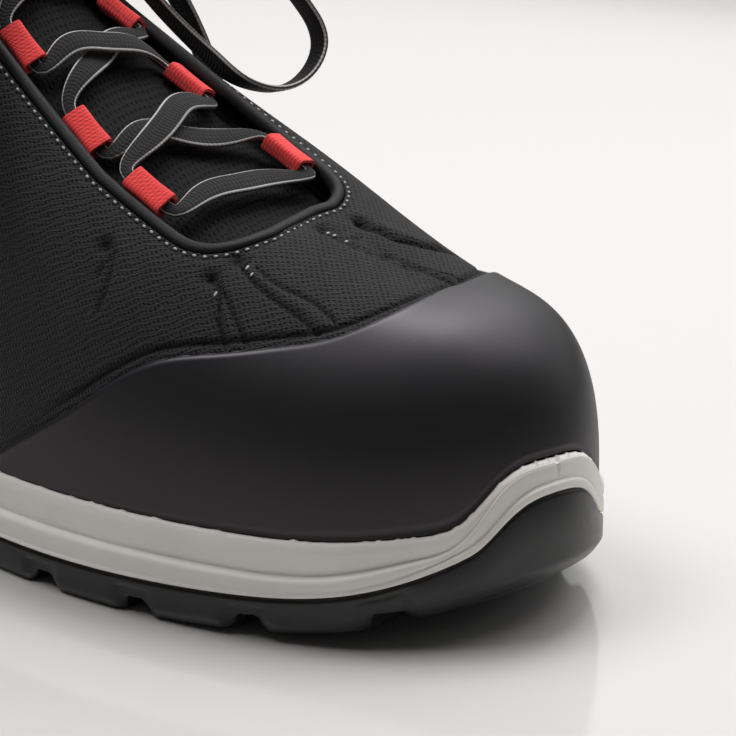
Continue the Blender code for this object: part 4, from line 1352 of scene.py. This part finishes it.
class SHOE_OT_free_laces(bpy.types.Operator):
    """Make the knot, the bow's loops and the lace ends"""

    bl_idname = "shoe.free_laces"
    bl_label = "Bow"

    def execute(self, context):
        knot = self.add_knot()
        for name, cord in CORDS.items():
            route = cord_route(cord)
            lengths = run_lengths(route)
            tangents = unit(np.gradient(route, axis=0))
            flats = np.cross(tangents, np.array(cord.wide))
            mesh = ribbon_mesh(name, route, flats, lace_widths(lengths, cord.returns))
            piece = add_piece(f"{name}_lace", mesh, [finish_of("lace"), finish_of("tip")], [name])
            if not cord.returns:
                self.mark_tip(piece.data, route[-1])
        return {"FINISHED"}

    @staticmethod
    def mark_tip(mesh, end):
        tip = Vector(to_row(end))
        for face in mesh.polygons:
            if (face.center - tip).length < TIP_LENGTH * MM:
                face.material_index = 1

    @staticmethod
    def add_knot():
        """Knot of two lobes with a turn of lace round its middle."""
        centre, axes = knot_frame()
        half = np.array(KNOT_SIZE) / 2
        columns, rows = KNOT_GRID

        def shape(i, j):
            turn = 2 * math.pi * i / columns
            lean = math.pi * (j / rows - 0.5)
            sideways = np.sin(lean)
            wrap = smooth((KNOT_WRAP - np.abs(sideways)) / KNOT_WRAP_EDGE)
            groove = np.exp(-((np.abs(sideways) - KNOT_GROOVE) / KNOT_GROOVE_WIDTH) ** 2)
            lobes = KNOT_LOBE * np.cos(KNOT_LOBES[0] * turn + KNOT_LOBES[1] * sideways) * (1 - wrap)
            swell = KNOT_WAIST + (1 - KNOT_WAIST) * wrap - KNOT_GROOVE_DEPTH * groove + lobes
            radius = np.cos(lean) * swell
            local = np.stack((half[0] * radius * np.cos(turn), half[1] * sideways * KNOT_SIDE,
                              half[2] * radius * np.sin(turn)), axis=1)
            girth = np.clip(sideways / KNOT_WRAP, -KNOT_CLOTH_REACH, KNOT_CLOTH_REACH)
            return centre + local @ axes, np.stack((turn * KNOT_CLOTH, girth), axis=1)

        mesh = joined("knot", [mapped_grid("knot", columns, rows, shape)])
        return add_piece("lace_knot_turns", mesh, [finish_of("lace")], ["lace_knot"])


EdgeFrame = namedtuple("EdgeFrame", "point out along inward")


def edge_frame(side, x):
    """Frame on the throat's edge: out of the surface, along the edge to the toe, into the opening."""
    station = station_at_crest(x)
    stations = np.array((station - FRAME_STEP, station, station + FRAME_STEP))
    places = stations if side == "lateral" else 2.0 - stations
    angles = top_angle(places)
    points = rib_points(places, angles)
    along = unit(points[2] - points[0])
    out = across_to(normals(places, angles)[1], along)
    inward = np.cross(out, along) if side == "lateral" else np.cross(along, out)
    return EdgeFrame(points[1], out, along, inward)


def loop_frame(side, number):
    """Middle of a webbing loop beside the binding, with its edge frame."""
    row = LOOPS[number]
    edge = edge_frame(side, getattr(row, side))
    reach = GAP + BINDING_WIDTH + GAP + LOOP_REACH / 2
    return edge.point + edge.inward * reach - edge.out * row.sink, edge


class SHOE_OT_loops(bpy.types.Operator):
    """Make the red webbing loops beside the throat"""

    bl_idname = "shoe.loops"
    bl_label = "Webbing loops"

    def execute(self, context):
        for side in ("lateral", "medial"):
            for number in range(len(LOOPS)):
                self.add_loop(side, number)
        return {"FINISHED"}

    @staticmethod
    def add_loop(side, number):
        centre, edge = loop_frame(side, number)
        columns, rows = LOOP_GRID

        def shape(i, j, inset=0.0):
            turn = 2 * math.pi * (i % columns) / columns
            along = (j / rows - 0.5) * LOOP_LENGTH
            flare = 1.0 - LOOP_WAIST * np.cos(math.pi * along / LOOP_LENGTH) ** 2
            reach = blunt(np.cos(turn), LOOP_BLUNT) * (LOOP_REACH / 2 * flare - inset)
            height = blunt(np.sin(turn), LOOP_BLUNT) * (LOOP_HEIGHT / 2 * flare - inset)
            spot = (centre + edge.along * along[:, None] + edge.inward * reach[:, None]
                    + edge.out * height[:, None])
            return spot, np.stack((turn * LOOP_CLOTH, along), axis=1)

        def inner(i, j):
            return shape(i, j, LOOP_WEB)

        name = f"lace_loop_{side}_{number + 1}"
        mesh = shell_mesh(name, columns, rows, shape, inner, all_round(columns, rows)[:2])
        add_piece(f"{name}_webbing", mesh, [finish_of("webbing")], [name], sharp=50)


class SHOE_OT_lacing(bpy.types.Operator):
    """Make the lace that runs through the loops"""

    bl_idname = "shoe.lacing"
    bl_label = "Lacing"

    def execute(self, context):
        top = len(LOOPS) - 1
        sides = [side for _ in LOOPS for side in ("medial", "lateral")]
        down = [self.loop_pass(sides[k], top - k, True) for k in range(top + 1)]
        up = [self.loop_pass(sides[k + 1], top - k, False) for k in range(top, -1, -1)]
        route = [self.knot_strand("medial")]
        for first, second in zip(down, down[1:]):
            route += first + self.crossing(first, second, LACE_OVER)
        route += down[-1] + self.crossing(down[-1], up[0], 0.0)
        for first, second in zip(up, up[1:]):
            route += first + self.crossing(first, second, LACE_UNDER)
        route += up[-1] + [self.knot_strand("lateral")]
        rows = even_route(sample_route(route, LACE_STEP), LACE_STEP)
        mesh = ribbon_mesh("lacing", rows[:, :3], rows[:, 3:6], rows[:, 6])
        add_piece("lacing_ribbon", mesh, [finish_of("lace")], ["lacing"])
        return {"FINISHED"}

    @staticmethod
    def loop_pass(side, number, forwards):
        centre, edge = loop_frame(side, number)
        reach = LOOP_LENGTH / 2 if forwards else -LOOP_LENGTH / 2
        places = [centre + edge.along * reach * share for share in LACE_PASS]
        return [np.concatenate((place, edge.out, (LACE_BUNCHED,))) for place in places]

    @staticmethod
    def crossing(start, end, lift):
        rows = []
        for share, rise, width in LACE_CROSSING:
            spot = start[-1][:2] + (end[0][:2] - start[-1][:2]) * share
            point, out = over(spot[0], spot[1], LACE_REST + lift * rise)
            rows.append(np.concatenate((point, out, (width,))))
        return rows

    @staticmethod
    def knot_strand(side):
        direction = -1 if side == "lateral" else 1
        y = knot_frame()[0][1] + direction * (KNOT_SIZE[1] / 2 + STRAND_CLEAR)
        point, out = over(KNOT_X, y, KNOT_LIFT)
        return np.concatenate((point, out, (LACE_BUNCHED,)))


def arc_from_crest(place, angle):
    """Length of each rib between an angle and the crest."""
    total = np.zeros(len(place))
    before = rib_points(place, angle)
    for k in range(1, RIB_STEPS + 1):
        after = rib_points(place, angle + (RIGHT_ANGLE - angle) * k / RIB_STEPS)
        total += np.linalg.norm(after - before, axis=1)
        before = after
    return total


def cloth_map(place, angle):
    """Unrolled coordinates of the upper: along the shoe and round it from the crest, in millimetres."""
    station = station_of(place)
    dense = np.linspace(0.0, CLOTH_HEEL_END, CLOTH_STEPS)
    half_way = np.full(CLOTH_STEPS, CLOTH_ANGLE)
    along = np.zeros(len(place))
    for places, here in ((dense, place <= 1.0), (2.0 - dense, place > 1.0)):
        line = rib_points(places, half_way)
        lengths = run_lengths(line)
        along[here] = np.interp(station[here], dense, lengths - lengths[-1] + line[-1, 0])
    front = smooth((station - CLOTH_HEEL_END + CLOTH_BLEND) / CLOTH_BLEND)
    along = along * (1 - front) + rib_points(place, angle)[:, 0] * front
    girth = arc_from_crest(place, angle) * np.where(place <= 1.0, -1.0, 1.0)
    return np.stack((along, girth), axis=1)


def near_line(points, line, width):
    """Share from 0 to 1 that fades out at a width from a dense line."""
    reach = 3 * width
    near = np.all((points > line.min(axis=0) - reach) & (points < line.max(axis=0) + reach), axis=1)
    share = np.zeros(len(points))
    share[near] = np.exp(-(distance_to(points[near], line) / width) ** 2)
    return share


def low_waves(points):
    """Long, low waves over the knit."""
    x, y, z = points.T
    crossed = np.sin(x / 13.0 + z / 17.0) * np.sin(y / 11.0 - x / 29.0)
    return crossed + 0.6 * np.sin(x / 7.0 - y / 9.0 + 1.3)


def knit_relief(points, place):
    """Rise of the knit over the last, and how deep its creases, dimples and the groove by the guard are from
    0 to 1, the mask of painted shade.
    """
    rise = np.zeros(len(points))
    hollow = np.zeros(len(points))
    for crease in CREASES:
        share = near_line(points, route_of(crease.route), crease.width)
        rise -= crease.depth * share
        if crease.depth > 0:
            hollow = np.maximum(hollow, share)
    for dimple in DIMPLES:
        share = near_line(points, spot_on_last(dimple)[0][None], DIMPLE_RADIUS)
        rise -= DIMPLE_DEPTH * share
        hollow = np.maximum(hollow, share)
    beyond = distance_to(points, guard_edge_line())
    ahead = smooth((station_of(place) - EDGE_GROOVE_FROM) / EDGE_GROOVE_FADE)
    groove = ahead * np.exp(-((beyond - EDGE_GROOVE) / EDGE_GROOVE_WIDTH) ** 2)
    seam = distance_to(points, upper_edge()[:, :3])
    trough = np.exp(-((seam - SEAM_TROUGH_AT) / SEAM_TROUGH_WIDTH) ** 2)
    rise -= EDGE_GROOVE_DEPTH * groove + SEAM_TROUGH * trough
    hollow = np.maximum(hollow, groove)
    free = smooth((seam - UNEVEN_OFF_SEAM) / UNEVEN_FADE) * smooth((beyond - UNEVEN_OFF_GUARD) / UNEVEN_FADE)
    return rise + UNEVEN * low_waves(points) * free, hollow


class SHOE_OT_upper(bpy.types.Operator):
    """Make the knitted upper with its creases and padded collar"""

    bl_idname = "shoe.upper"
    bl_label = "Knitted upper"

    def execute(self, context):
        back = gathered(spaced(UPPER_BACK), THROAT_FRONT, UPPER_CORNER_STEPS)
        stations = np.concatenate((back, spaced(UPPER_FRONT)[1:]))
        places = ring(stations)
        low, high = foot_angle(places), top_angle(places)
        rows = UPPER_ROWS

        def outer(i, j):
            place = places[i]
            angle = low[i] + (high[i] - low[i]) * j / rows
            base = rib_points(place, angle)
            rise, hollow = knit_relief(base, place)
            return base + normals(place, angle) * rise[:, None], cloth_map(place, angle), hollow

        def inner(i, j):
            place = places[i]
            angle = low[i] + (high[i] - low[i]) * j / rows
            depth = WALL + padding(place, angle)
            return rib_points(place, angle) - normals(place, angle) * depth[:, None], cloth_map(place, angle)

        columns = len(places) - 1
        front = int(np.argmin(np.abs(stations - THROAT_FRONT)))
        borders = open_borders(columns, rows, front)
        mesh = shell_mesh("upper", columns, rows, outer, inner, borders,
                          lining=1, coarser=UPPER_COARSER)
        add_piece("knit_upper", mesh, [finish_of("knit"), finish_of("lining")], ["upper"])
        return {"FINISHED"}


class SHOE_OT_guard(bpy.types.Operator):
    """Make the smooth guard over the toe and along the sides"""

    bl_idname = "shoe.guard"
    bl_label = "Toe guard"

    def execute(self, context):
        skin = context.scene.shoe_sizes.guard_skin
        stations = spaced(GUARD_SPANS)
        places = ring(stations)
        low, high = rim_angle(places), guard_angle(places)
        edge = guard_edge_line()
        rows = GUARD_ROWS

        def sheet(i, j, lowest, highest):
            place = places[i]
            share = 1 - (1 - j / rows) ** GUARD_CROWDING
            angle = low[i] + (high[i] - low[i]) * share
            base = rib_points(place, angle)
            inside = distance_to(base, edge) / GUARD_CHAMFER
            rise = lowest + (highest - lowest) * np.sqrt(1 - (1 - np.clip(inside, 0.0, 1.0)) ** 2)
            # The last value, near 1 along the upper edge, marks where the guard finish paints a highlight.
            return base + normals(place, angle) * rise[:, None], base[:, :2], np.exp(-inside ** 2)

        def outer(i, j):
            return sheet(i, j, GUARD_GAP, GUARD_GAP + skin)

        def inner(i, j):
            return sheet(i, j, GUARD_GAP / 2, GUARD_GAP / 2)

        columns = len(places) - 1
        front = int(np.argmin(np.abs(stations - GUARD_FRONT)))
        borders = open_borders(columns, rows, front) + all_round(columns, rows)[2:]
        mesh = shell_mesh("guard", columns, rows, outer, inner, borders, coarser=GUARD_COARSER)
        add_piece("toe_guard_skin", mesh, [finish_of("guard")], ["toe_guard"])
        return {"FINISHED"}


def base_height(x):
    """Underside of the sole: heel bevel, arch and toe spring."""
    bevel = HEEL_BEVEL * np.maximum((HEEL_BEVEL_LENGTH - x) / HEEL_BEVEL_LENGTH, 0.0) ** 2
    arch = smooth((x - ARCH[0]) / (ARCH[1] - ARCH[0])) * smooth((ARCH[3] - x) / (ARCH[3] - ARCH[2]))
    return bevel + ARCH_RISE * arch + spring(x)


def from_grooves(x, y):
    """Distance from the middle of the nearest cross groove."""
    middles = np.array(GROOVES_X)[:, None] + GROOVE_BEND * (1 - np.abs(y) / GROOVE_REACH)
    return np.abs(x - middles).min(axis=0)


def between_lugs(x, y):
    """1 between two lugs and 0 on them."""
    return np.clip((GROOVE_HALF + GROOVE_SLOPE + FACET_SPREAD - from_grooves(x, y)) / FACET_SPREAD, 0.0, 1.0)


def tread_height(x, y):
    """Underside with its grooves."""
    cut = np.clip((GROOVE_HALF + GROOVE_SLOPE - from_grooves(x, y)) / GROOVE_SLOPE, 0.0, 1.0)
    long = (x > CENTRE_GROOVE[0]) & (x < CENTRE_GROOVE[1])
    middle = np.clip((CENTRE_GROOVE_HALF + GROOVE_SLOPE - np.abs(y)) / GROOVE_SLOPE, 0.0, 1.0)
    cut = np.maximum(cut, middle * long)
    base = base_height(x)
    return np.maximum(base, spring(x) + LUG_HEIGHT * cut)


def sole_line(line, places):
    """Heights of a named line of the sole."""
    x = RIBS(places)[:, 0]
    outsole, ledge, rim = LINES(line_station(places)).T
    heights = {
        "base": base_height(x),
        "plate": PLATE + spring(x),
        "floor": FLOOR + spring(x),
        "outsole": outsole,
        "ledge": ledge,
        "rim": rim,
    }
    return heights[line]


def sole_rows(rows, places):
    """Lines round the sole for each row of a table: rows, places, coordinates."""
    start, end = TOE_BLEND
    toe = smooth((line_station(places) - start) / (end - start))
    trim = np.exp(-((places - LIP_TRIM.place) / LIP_TRIM.reach) ** 4)
    lines = []
    for row in rows:
        rise = row.side_rise + (row.toe_rise - row.side_rise) * toe
        offset = row.side_offset + (row.toe_offset - row.side_offset) * toe
        offset = offset - np.maximum(offset - LIP_TRIM.offset, 0.0) * trim
        lines.append(beside(places, sole_line(row.line, places) + rise, offset))
    return np.array(lines)


def softened(lines, radii):
    """Lines with each inner corner of the profile cut off at a radius, once for each radius."""
    for radius in radii:
        made = [lines[0]]
        for before, corner, after in zip(lines, lines[1:], lines[2:]):
            for other in (before, after):
                step = other - corner
                length = np.maximum(np.linalg.norm(step, axis=1, keepdims=True), SLIVER)
                made.append(corner + step * np.minimum(radius / length, CORNER_SHARE))
        lines = made + [lines[-1]]
    return np.array(lines)


def side_mesh(name, lines):
    """Mesh through lines round the shoe."""
    def shape(i, j):
        points = lines[j, i]
        return points, points[:, (0, 2)]

    return mapped_grid(name, lines.shape[1] - 1, len(lines) - 1, shape)


Across = namedtuple("Across", "segments height")
FLAT = Across(2, None)


def floor_mesh(name, line, across):
    """Mesh across a line round the shoe, whose heights a function may set."""
    def shape(i, j):
        share = (j / across.segments)[:, None]
        points = line[i] * (1 - share) + line[len(line) - 1 - i] * share
        if across.height:
            inner = (j > 0) & (j < across.segments)
            points[inner, 2] = across.height(points[inner, 0], points[inner, 1])
        return points, points[:, :2]

    return mapped_grid(name, len(line) // 2, across.segments, shape)


def sole_mesh(name, lines, under=FLAT, top=FLAT):
    """Closed mesh of the lines round a piece of the sole, with its underside and its top."""
    meshes = [side_mesh(name, lines), floor_mesh(name, lines[0], under), floor_mesh(name, lines[-1], top)]
    return joined(name, meshes)


class SHOE_OT_midsole(bpy.types.Operator):
    """Make the midsole with its ledge and the band over the toe"""

    bl_idname = "shoe.midsole"
    bl_label = "Midsole"

    def execute(self, context):
        places = ring(spaced(SOLE_SPANS))
        lines = sole_rows(MIDSOLE_ROWS, places)
        self.add_flash(lines, places)
        mesh = sole_mesh("midsole", softened(lines, MIDSOLE_CORNERS))
        add_piece("midsole_foam", mesh, [finish_of("foam")], ["midsole"], sharp=55)
        return {"FINISHED"}

    @staticmethod
    def add_flash(lines, places):
        """Uneven moulding flash along the rim, and the mould's parting line on the toe."""
        run = places * RIM_RUN
        ragged = np.sin(run * 2.1) * np.sin(run * 0.73 + 1.0)
        ragged += 0.6 * np.sin(run * 3.7 + np.sin(run * 0.31) * 4.0)
        parting = np.exp(-((places - PARTING.place) / PARTING.width) ** 2)
        out = outline_normals(places)
        for row, line in zip(MIDSOLE_ROWS, lines):
            if row.line == "rim" and row.side_rise == 0.0:
                line[:, 2] += FLASH * np.maximum(ragged - FLASH_LEAST, 0.0)
            if row.side_offset > RIM_INSIDE and row.line in ("ledge", "rim"):
                line -= out * (PARTING.depth * parting)[:, None]


class SHOE_OT_outsole(bpy.types.Operator):
    """Make the outsole with its lugs and bumper"""

    bl_idname = "shoe.outsole"
    bl_label = "Outsole"

    def execute(self, context):
        places = ring(spaced(SOLE_SPANS))
        lines = softened(sole_rows(OUTSOLE_ROWS, places), OUTSOLE_CORNERS)
        top = sole_line("outsole", places)
        out = outline_normals(places)
        for line in lines[:-TRAY_LINES]:
            recess = smooth((top - FACET_BELOW - line[:, 2]) / FACET_FADE)
            recess = recess * between_lugs(line[:, 0], line[:, 1])
            line -= out * (FACET_DEPTH * recess)[:, None]
        for line in lines[:len(lines) // 2]:
            line[:, 2] = np.maximum(line[:, 2], tread_height(line[:, 0], line[:, 1]))
        mesh = sole_mesh("outsole", lines, under=Across(TREAD_ROWS, tread_height))
        add_piece("outsole_rubber", mesh, [finish_of("rubber")], ["outsole"], sharp=45)
        return {"FINISHED"}


class SHOE_OT_insole(bpy.types.Operator):
    """Make the loose footbed"""

    bl_idname = "shoe.insole"
    bl_label = "Insole"

    def execute(self, context):
        inset = -(WALL + INSOLE_SIDE_GAP)
        rows = (
            SoleRow("floor", GAP, inset, GAP, inset),
            SoleRow("floor", INSOLE_THICKNESS - INSOLE_ROUND, inset, INSOLE_THICKNESS - INSOLE_ROUND, inset),
            SoleRow("floor", INSOLE_THICKNESS, inset - INSOLE_ROUND, INSOLE_THICKNESS, inset - INSOLE_ROUND),
        )
        lines = softened(sole_rows(rows, ring(spaced(INSOLE_SPANS))), INSOLE_CORNERS)
        mesh = sole_mesh("insole", lines, top=Across(INSOLE_ROWS, None))
        add_piece("footbed", mesh, [finish_of("lining")], ["insole"])
        return {"FINISHED"}


class SHOE_OT_tongue(bpy.types.Operator):
    """Make the mesh tongue under the laces"""

    bl_idname = "shoe.tongue"
    bl_label = "Tongue"

    def execute(self, context):
        stations = spaced(TONGUE_SPANS)
        segments = TONGUE_ROWS
        edges = {side: angle_across(self.place(stations, side), lambda x: throat_width(x) + TONGUE_LAP)
                 for side in (1, -1)}

        def sheet(i, j, deeper, turned):
            share = 1 - np.abs(2 * j / segments - 1)
            side = np.where(j <= segments / 2, 1, -1)
            low = np.where(side == 1, edges[1][i], edges[-1][i])
            place = self.place(stations[i], side)
            angle = low + (RIGHT_ANGLE - low) * share
            border = np.minimum(share * TONGUE_HALF, (stations[i] - TONGUE_TOP) * LENGTH)
            rounded = 1 - np.sqrt(1 - (1 - np.clip(border / TONGUE_ROUND, 0.0, 1.0)) ** 2)
            depth = self.depth(place, stations[i], low, share) + deeper + turned * rounded
            base = rib_points(place, angle)
            return base - normals(place, angle) * depth[:, None], cloth_map(place, angle)

        def outer(i, j):
            return sheet(i, j, 0.0, TONGUE_TURN)

        def inner(i, j):
            return sheet(i, j, TONGUE_THICKNESS, -TONGUE_TURN)

        columns = len(stations) - 1
        mesh = shell_mesh("tongue", columns, segments, outer, inner, all_round(columns, segments))
        add_piece("tongue_mesh", mesh, [finish_of("lining")], ["tongue"])
        return {"FINISHED"}

    @staticmethod
    def place(stations, side):
        return np.where(np.asarray(side) == 1, stations, 2.0 - stations)

    @staticmethod
    def depth(place, stations, low, share):
        """Depth of the tongue's face under the last."""
        start, end = TONGUE_SEAT
        free = 1 - smooth((stations - start) / (end - start))
        drop = TONGUE_DROP * (1 - smooth((stations - TONGUE_TOP) / TONGUE_DROP_REACH))
        seat = WALL + padding(place, low) + TONGUE_SEAT_GAP + drop
        return seat + (TONGUE_DEPTH - seat) * free * smooth(share / TONGUE_SHOULDER)


class SHOE_OT_binding(bpy.types.Operator):
    """Make the edging of the throat and collar"""

    bl_idname = "shoe.binding"
    bl_label = "Binding"

    def execute(self, context):
        rows = upper_edge()
        points, out, wall = rows[:, :3], rows[:, 3:6], rows[:, 6]
        looped = np.vstack((points[-2], points, points[1]))
        along = unit(looped[2:] - looped[:-2])
        out = across_to(out, along)
        inward = np.cross(out, along)
        middle = points + inward * (GAP + BINDING_WIDTH / 2) - out * wall[:, None] / 2
        lengths = run_lengths(points)

        def shape(i, j):
            turn = 2 * math.pi * i / BINDING_SIDES
            reach = blunt(np.cos(turn), BINDING_BLUNT) * BINDING_WIDTH / 2
            rise = blunt(np.sin(turn), BINDING_BLUNT) * (wall[j] / 2 + BINDING_PROUD)
            spot = middle[j] + inward[j] * reach[:, None] + out[j] * rise[:, None]
            return spot, np.stack((lengths[j], turn * BINDING_CLOTH), axis=1)

        mesh = joined("binding", [mapped_grid("binding", BINDING_SIDES, len(points) - 1, shape)])
        add_piece("throat_edging", mesh, [finish_of("binding")], ["throat_binding"])
        self.add_stitches(context.scene.shoe_sizes, points, out, along, inward)
        return {"FINISHED"}

    @staticmethod
    def add_stitches(sizes, points, out, along, inward):
        """Row of light stitches in the knit beside the binding, and tacks at the creases."""
        rows = np.hstack((points - inward * STITCH_INSET, out, along))
        bm = bmesh.new()
        for row in even_route(rows, sizes.stitch_pitch)[:-1]:
            spot = row[:3] - row[3:6] * STITCH_SINK
            add_stitch(bm, spot, row[6:9], row[3:6], sizes.stitch_length, sizes.stitch_width)
        for tack in TACKS:
            spot, normal, further = spot_on_last(tack)
            add_stitch(bm, spot, further - spot, normal, TACK_LENGTH, sizes.stitch_width)
        add_piece("edge_stitches", mesh_of(bm, "edge_stitches"), [finish_of("thread")])


def add_stitch(bm, spot, along, out, length, width):
    """Small rounded stitch lying in the cloth."""
    along = unit(along)
    out = across_to(out, along)
    side = np.cross(out, along)
    axes = np.stack((along * length / 2, side * width / 2, out * width * STITCH_RISE), axis=1)
    turn = Matrix(axes * MM).to_4x4()
    turn.translation = Vector(to_row(spot))
    segments, rings = STITCH_GRID
    bmesh.ops.create_uvsphere(bm, u_segments=segments, v_segments=rings, radius=1.0, matrix=turn)


CLASSES = (
    ShoeColours,
    ShoeSizes,
    SHOE_OT_stage,
    SHOE_OT_free_laces,
    SHOE_OT_loops,
    SHOE_OT_lacing,
    SHOE_OT_upper,
    SHOE_OT_guard,
    SHOE_OT_midsole,
    SHOE_OT_outsole,
    SHOE_OT_insole,
    SHOE_OT_tongue,
    SHOE_OT_binding,
)


class SHOE_PT_panel(bpy.types.Panel):
    """Steps and settings of the shoe's looks"""

    bl_label = "Safety shoe"
    bl_idname = "SHOE_PT_panel"
    bl_space_type = "VIEW_3D"
    bl_region_type = "UI"
    bl_category = "Shoe"

    def draw(self, context):
        for group in (context.scene.shoe_colours, context.scene.shoe_sizes):
            for name in group.__annotations__:
                self.layout.prop(group, name)
        for step in CLASSES[2:]:
            self.layout.operator(step.bl_idname)


def register():
    for each in CLASSES + (SHOE_PT_panel,):
        bpy.utils.register_class(each)
    bpy.types.Scene.shoe_colours = bpy.props.PointerProperty(type=ShoeColours)
    bpy.types.Scene.shoe_sizes = bpy.props.PointerProperty(type=ShoeSizes)


def unregister():
    del bpy.types.Scene.shoe_sizes
    del bpy.types.Scene.shoe_colours
    for each in reversed(CLASSES + (SHOE_PT_panel,)):
        bpy.utils.unregister_class(each)


def main():
    register()
    bpy.ops.shoe.stage()
    bpy.ops.shoe.free_laces()
    bpy.ops.shoe.loops()
    bpy.ops.shoe.lacing()
    bpy.ops.shoe.upper()
    bpy.ops.shoe.guard()
    bpy.ops.shoe.midsole()
    bpy.ops.shoe.outsole()
    bpy.ops.shoe.insole()
    bpy.ops.shoe.tongue()
    bpy.ops.shoe.binding()


if __name__ == "__main__":
    main()
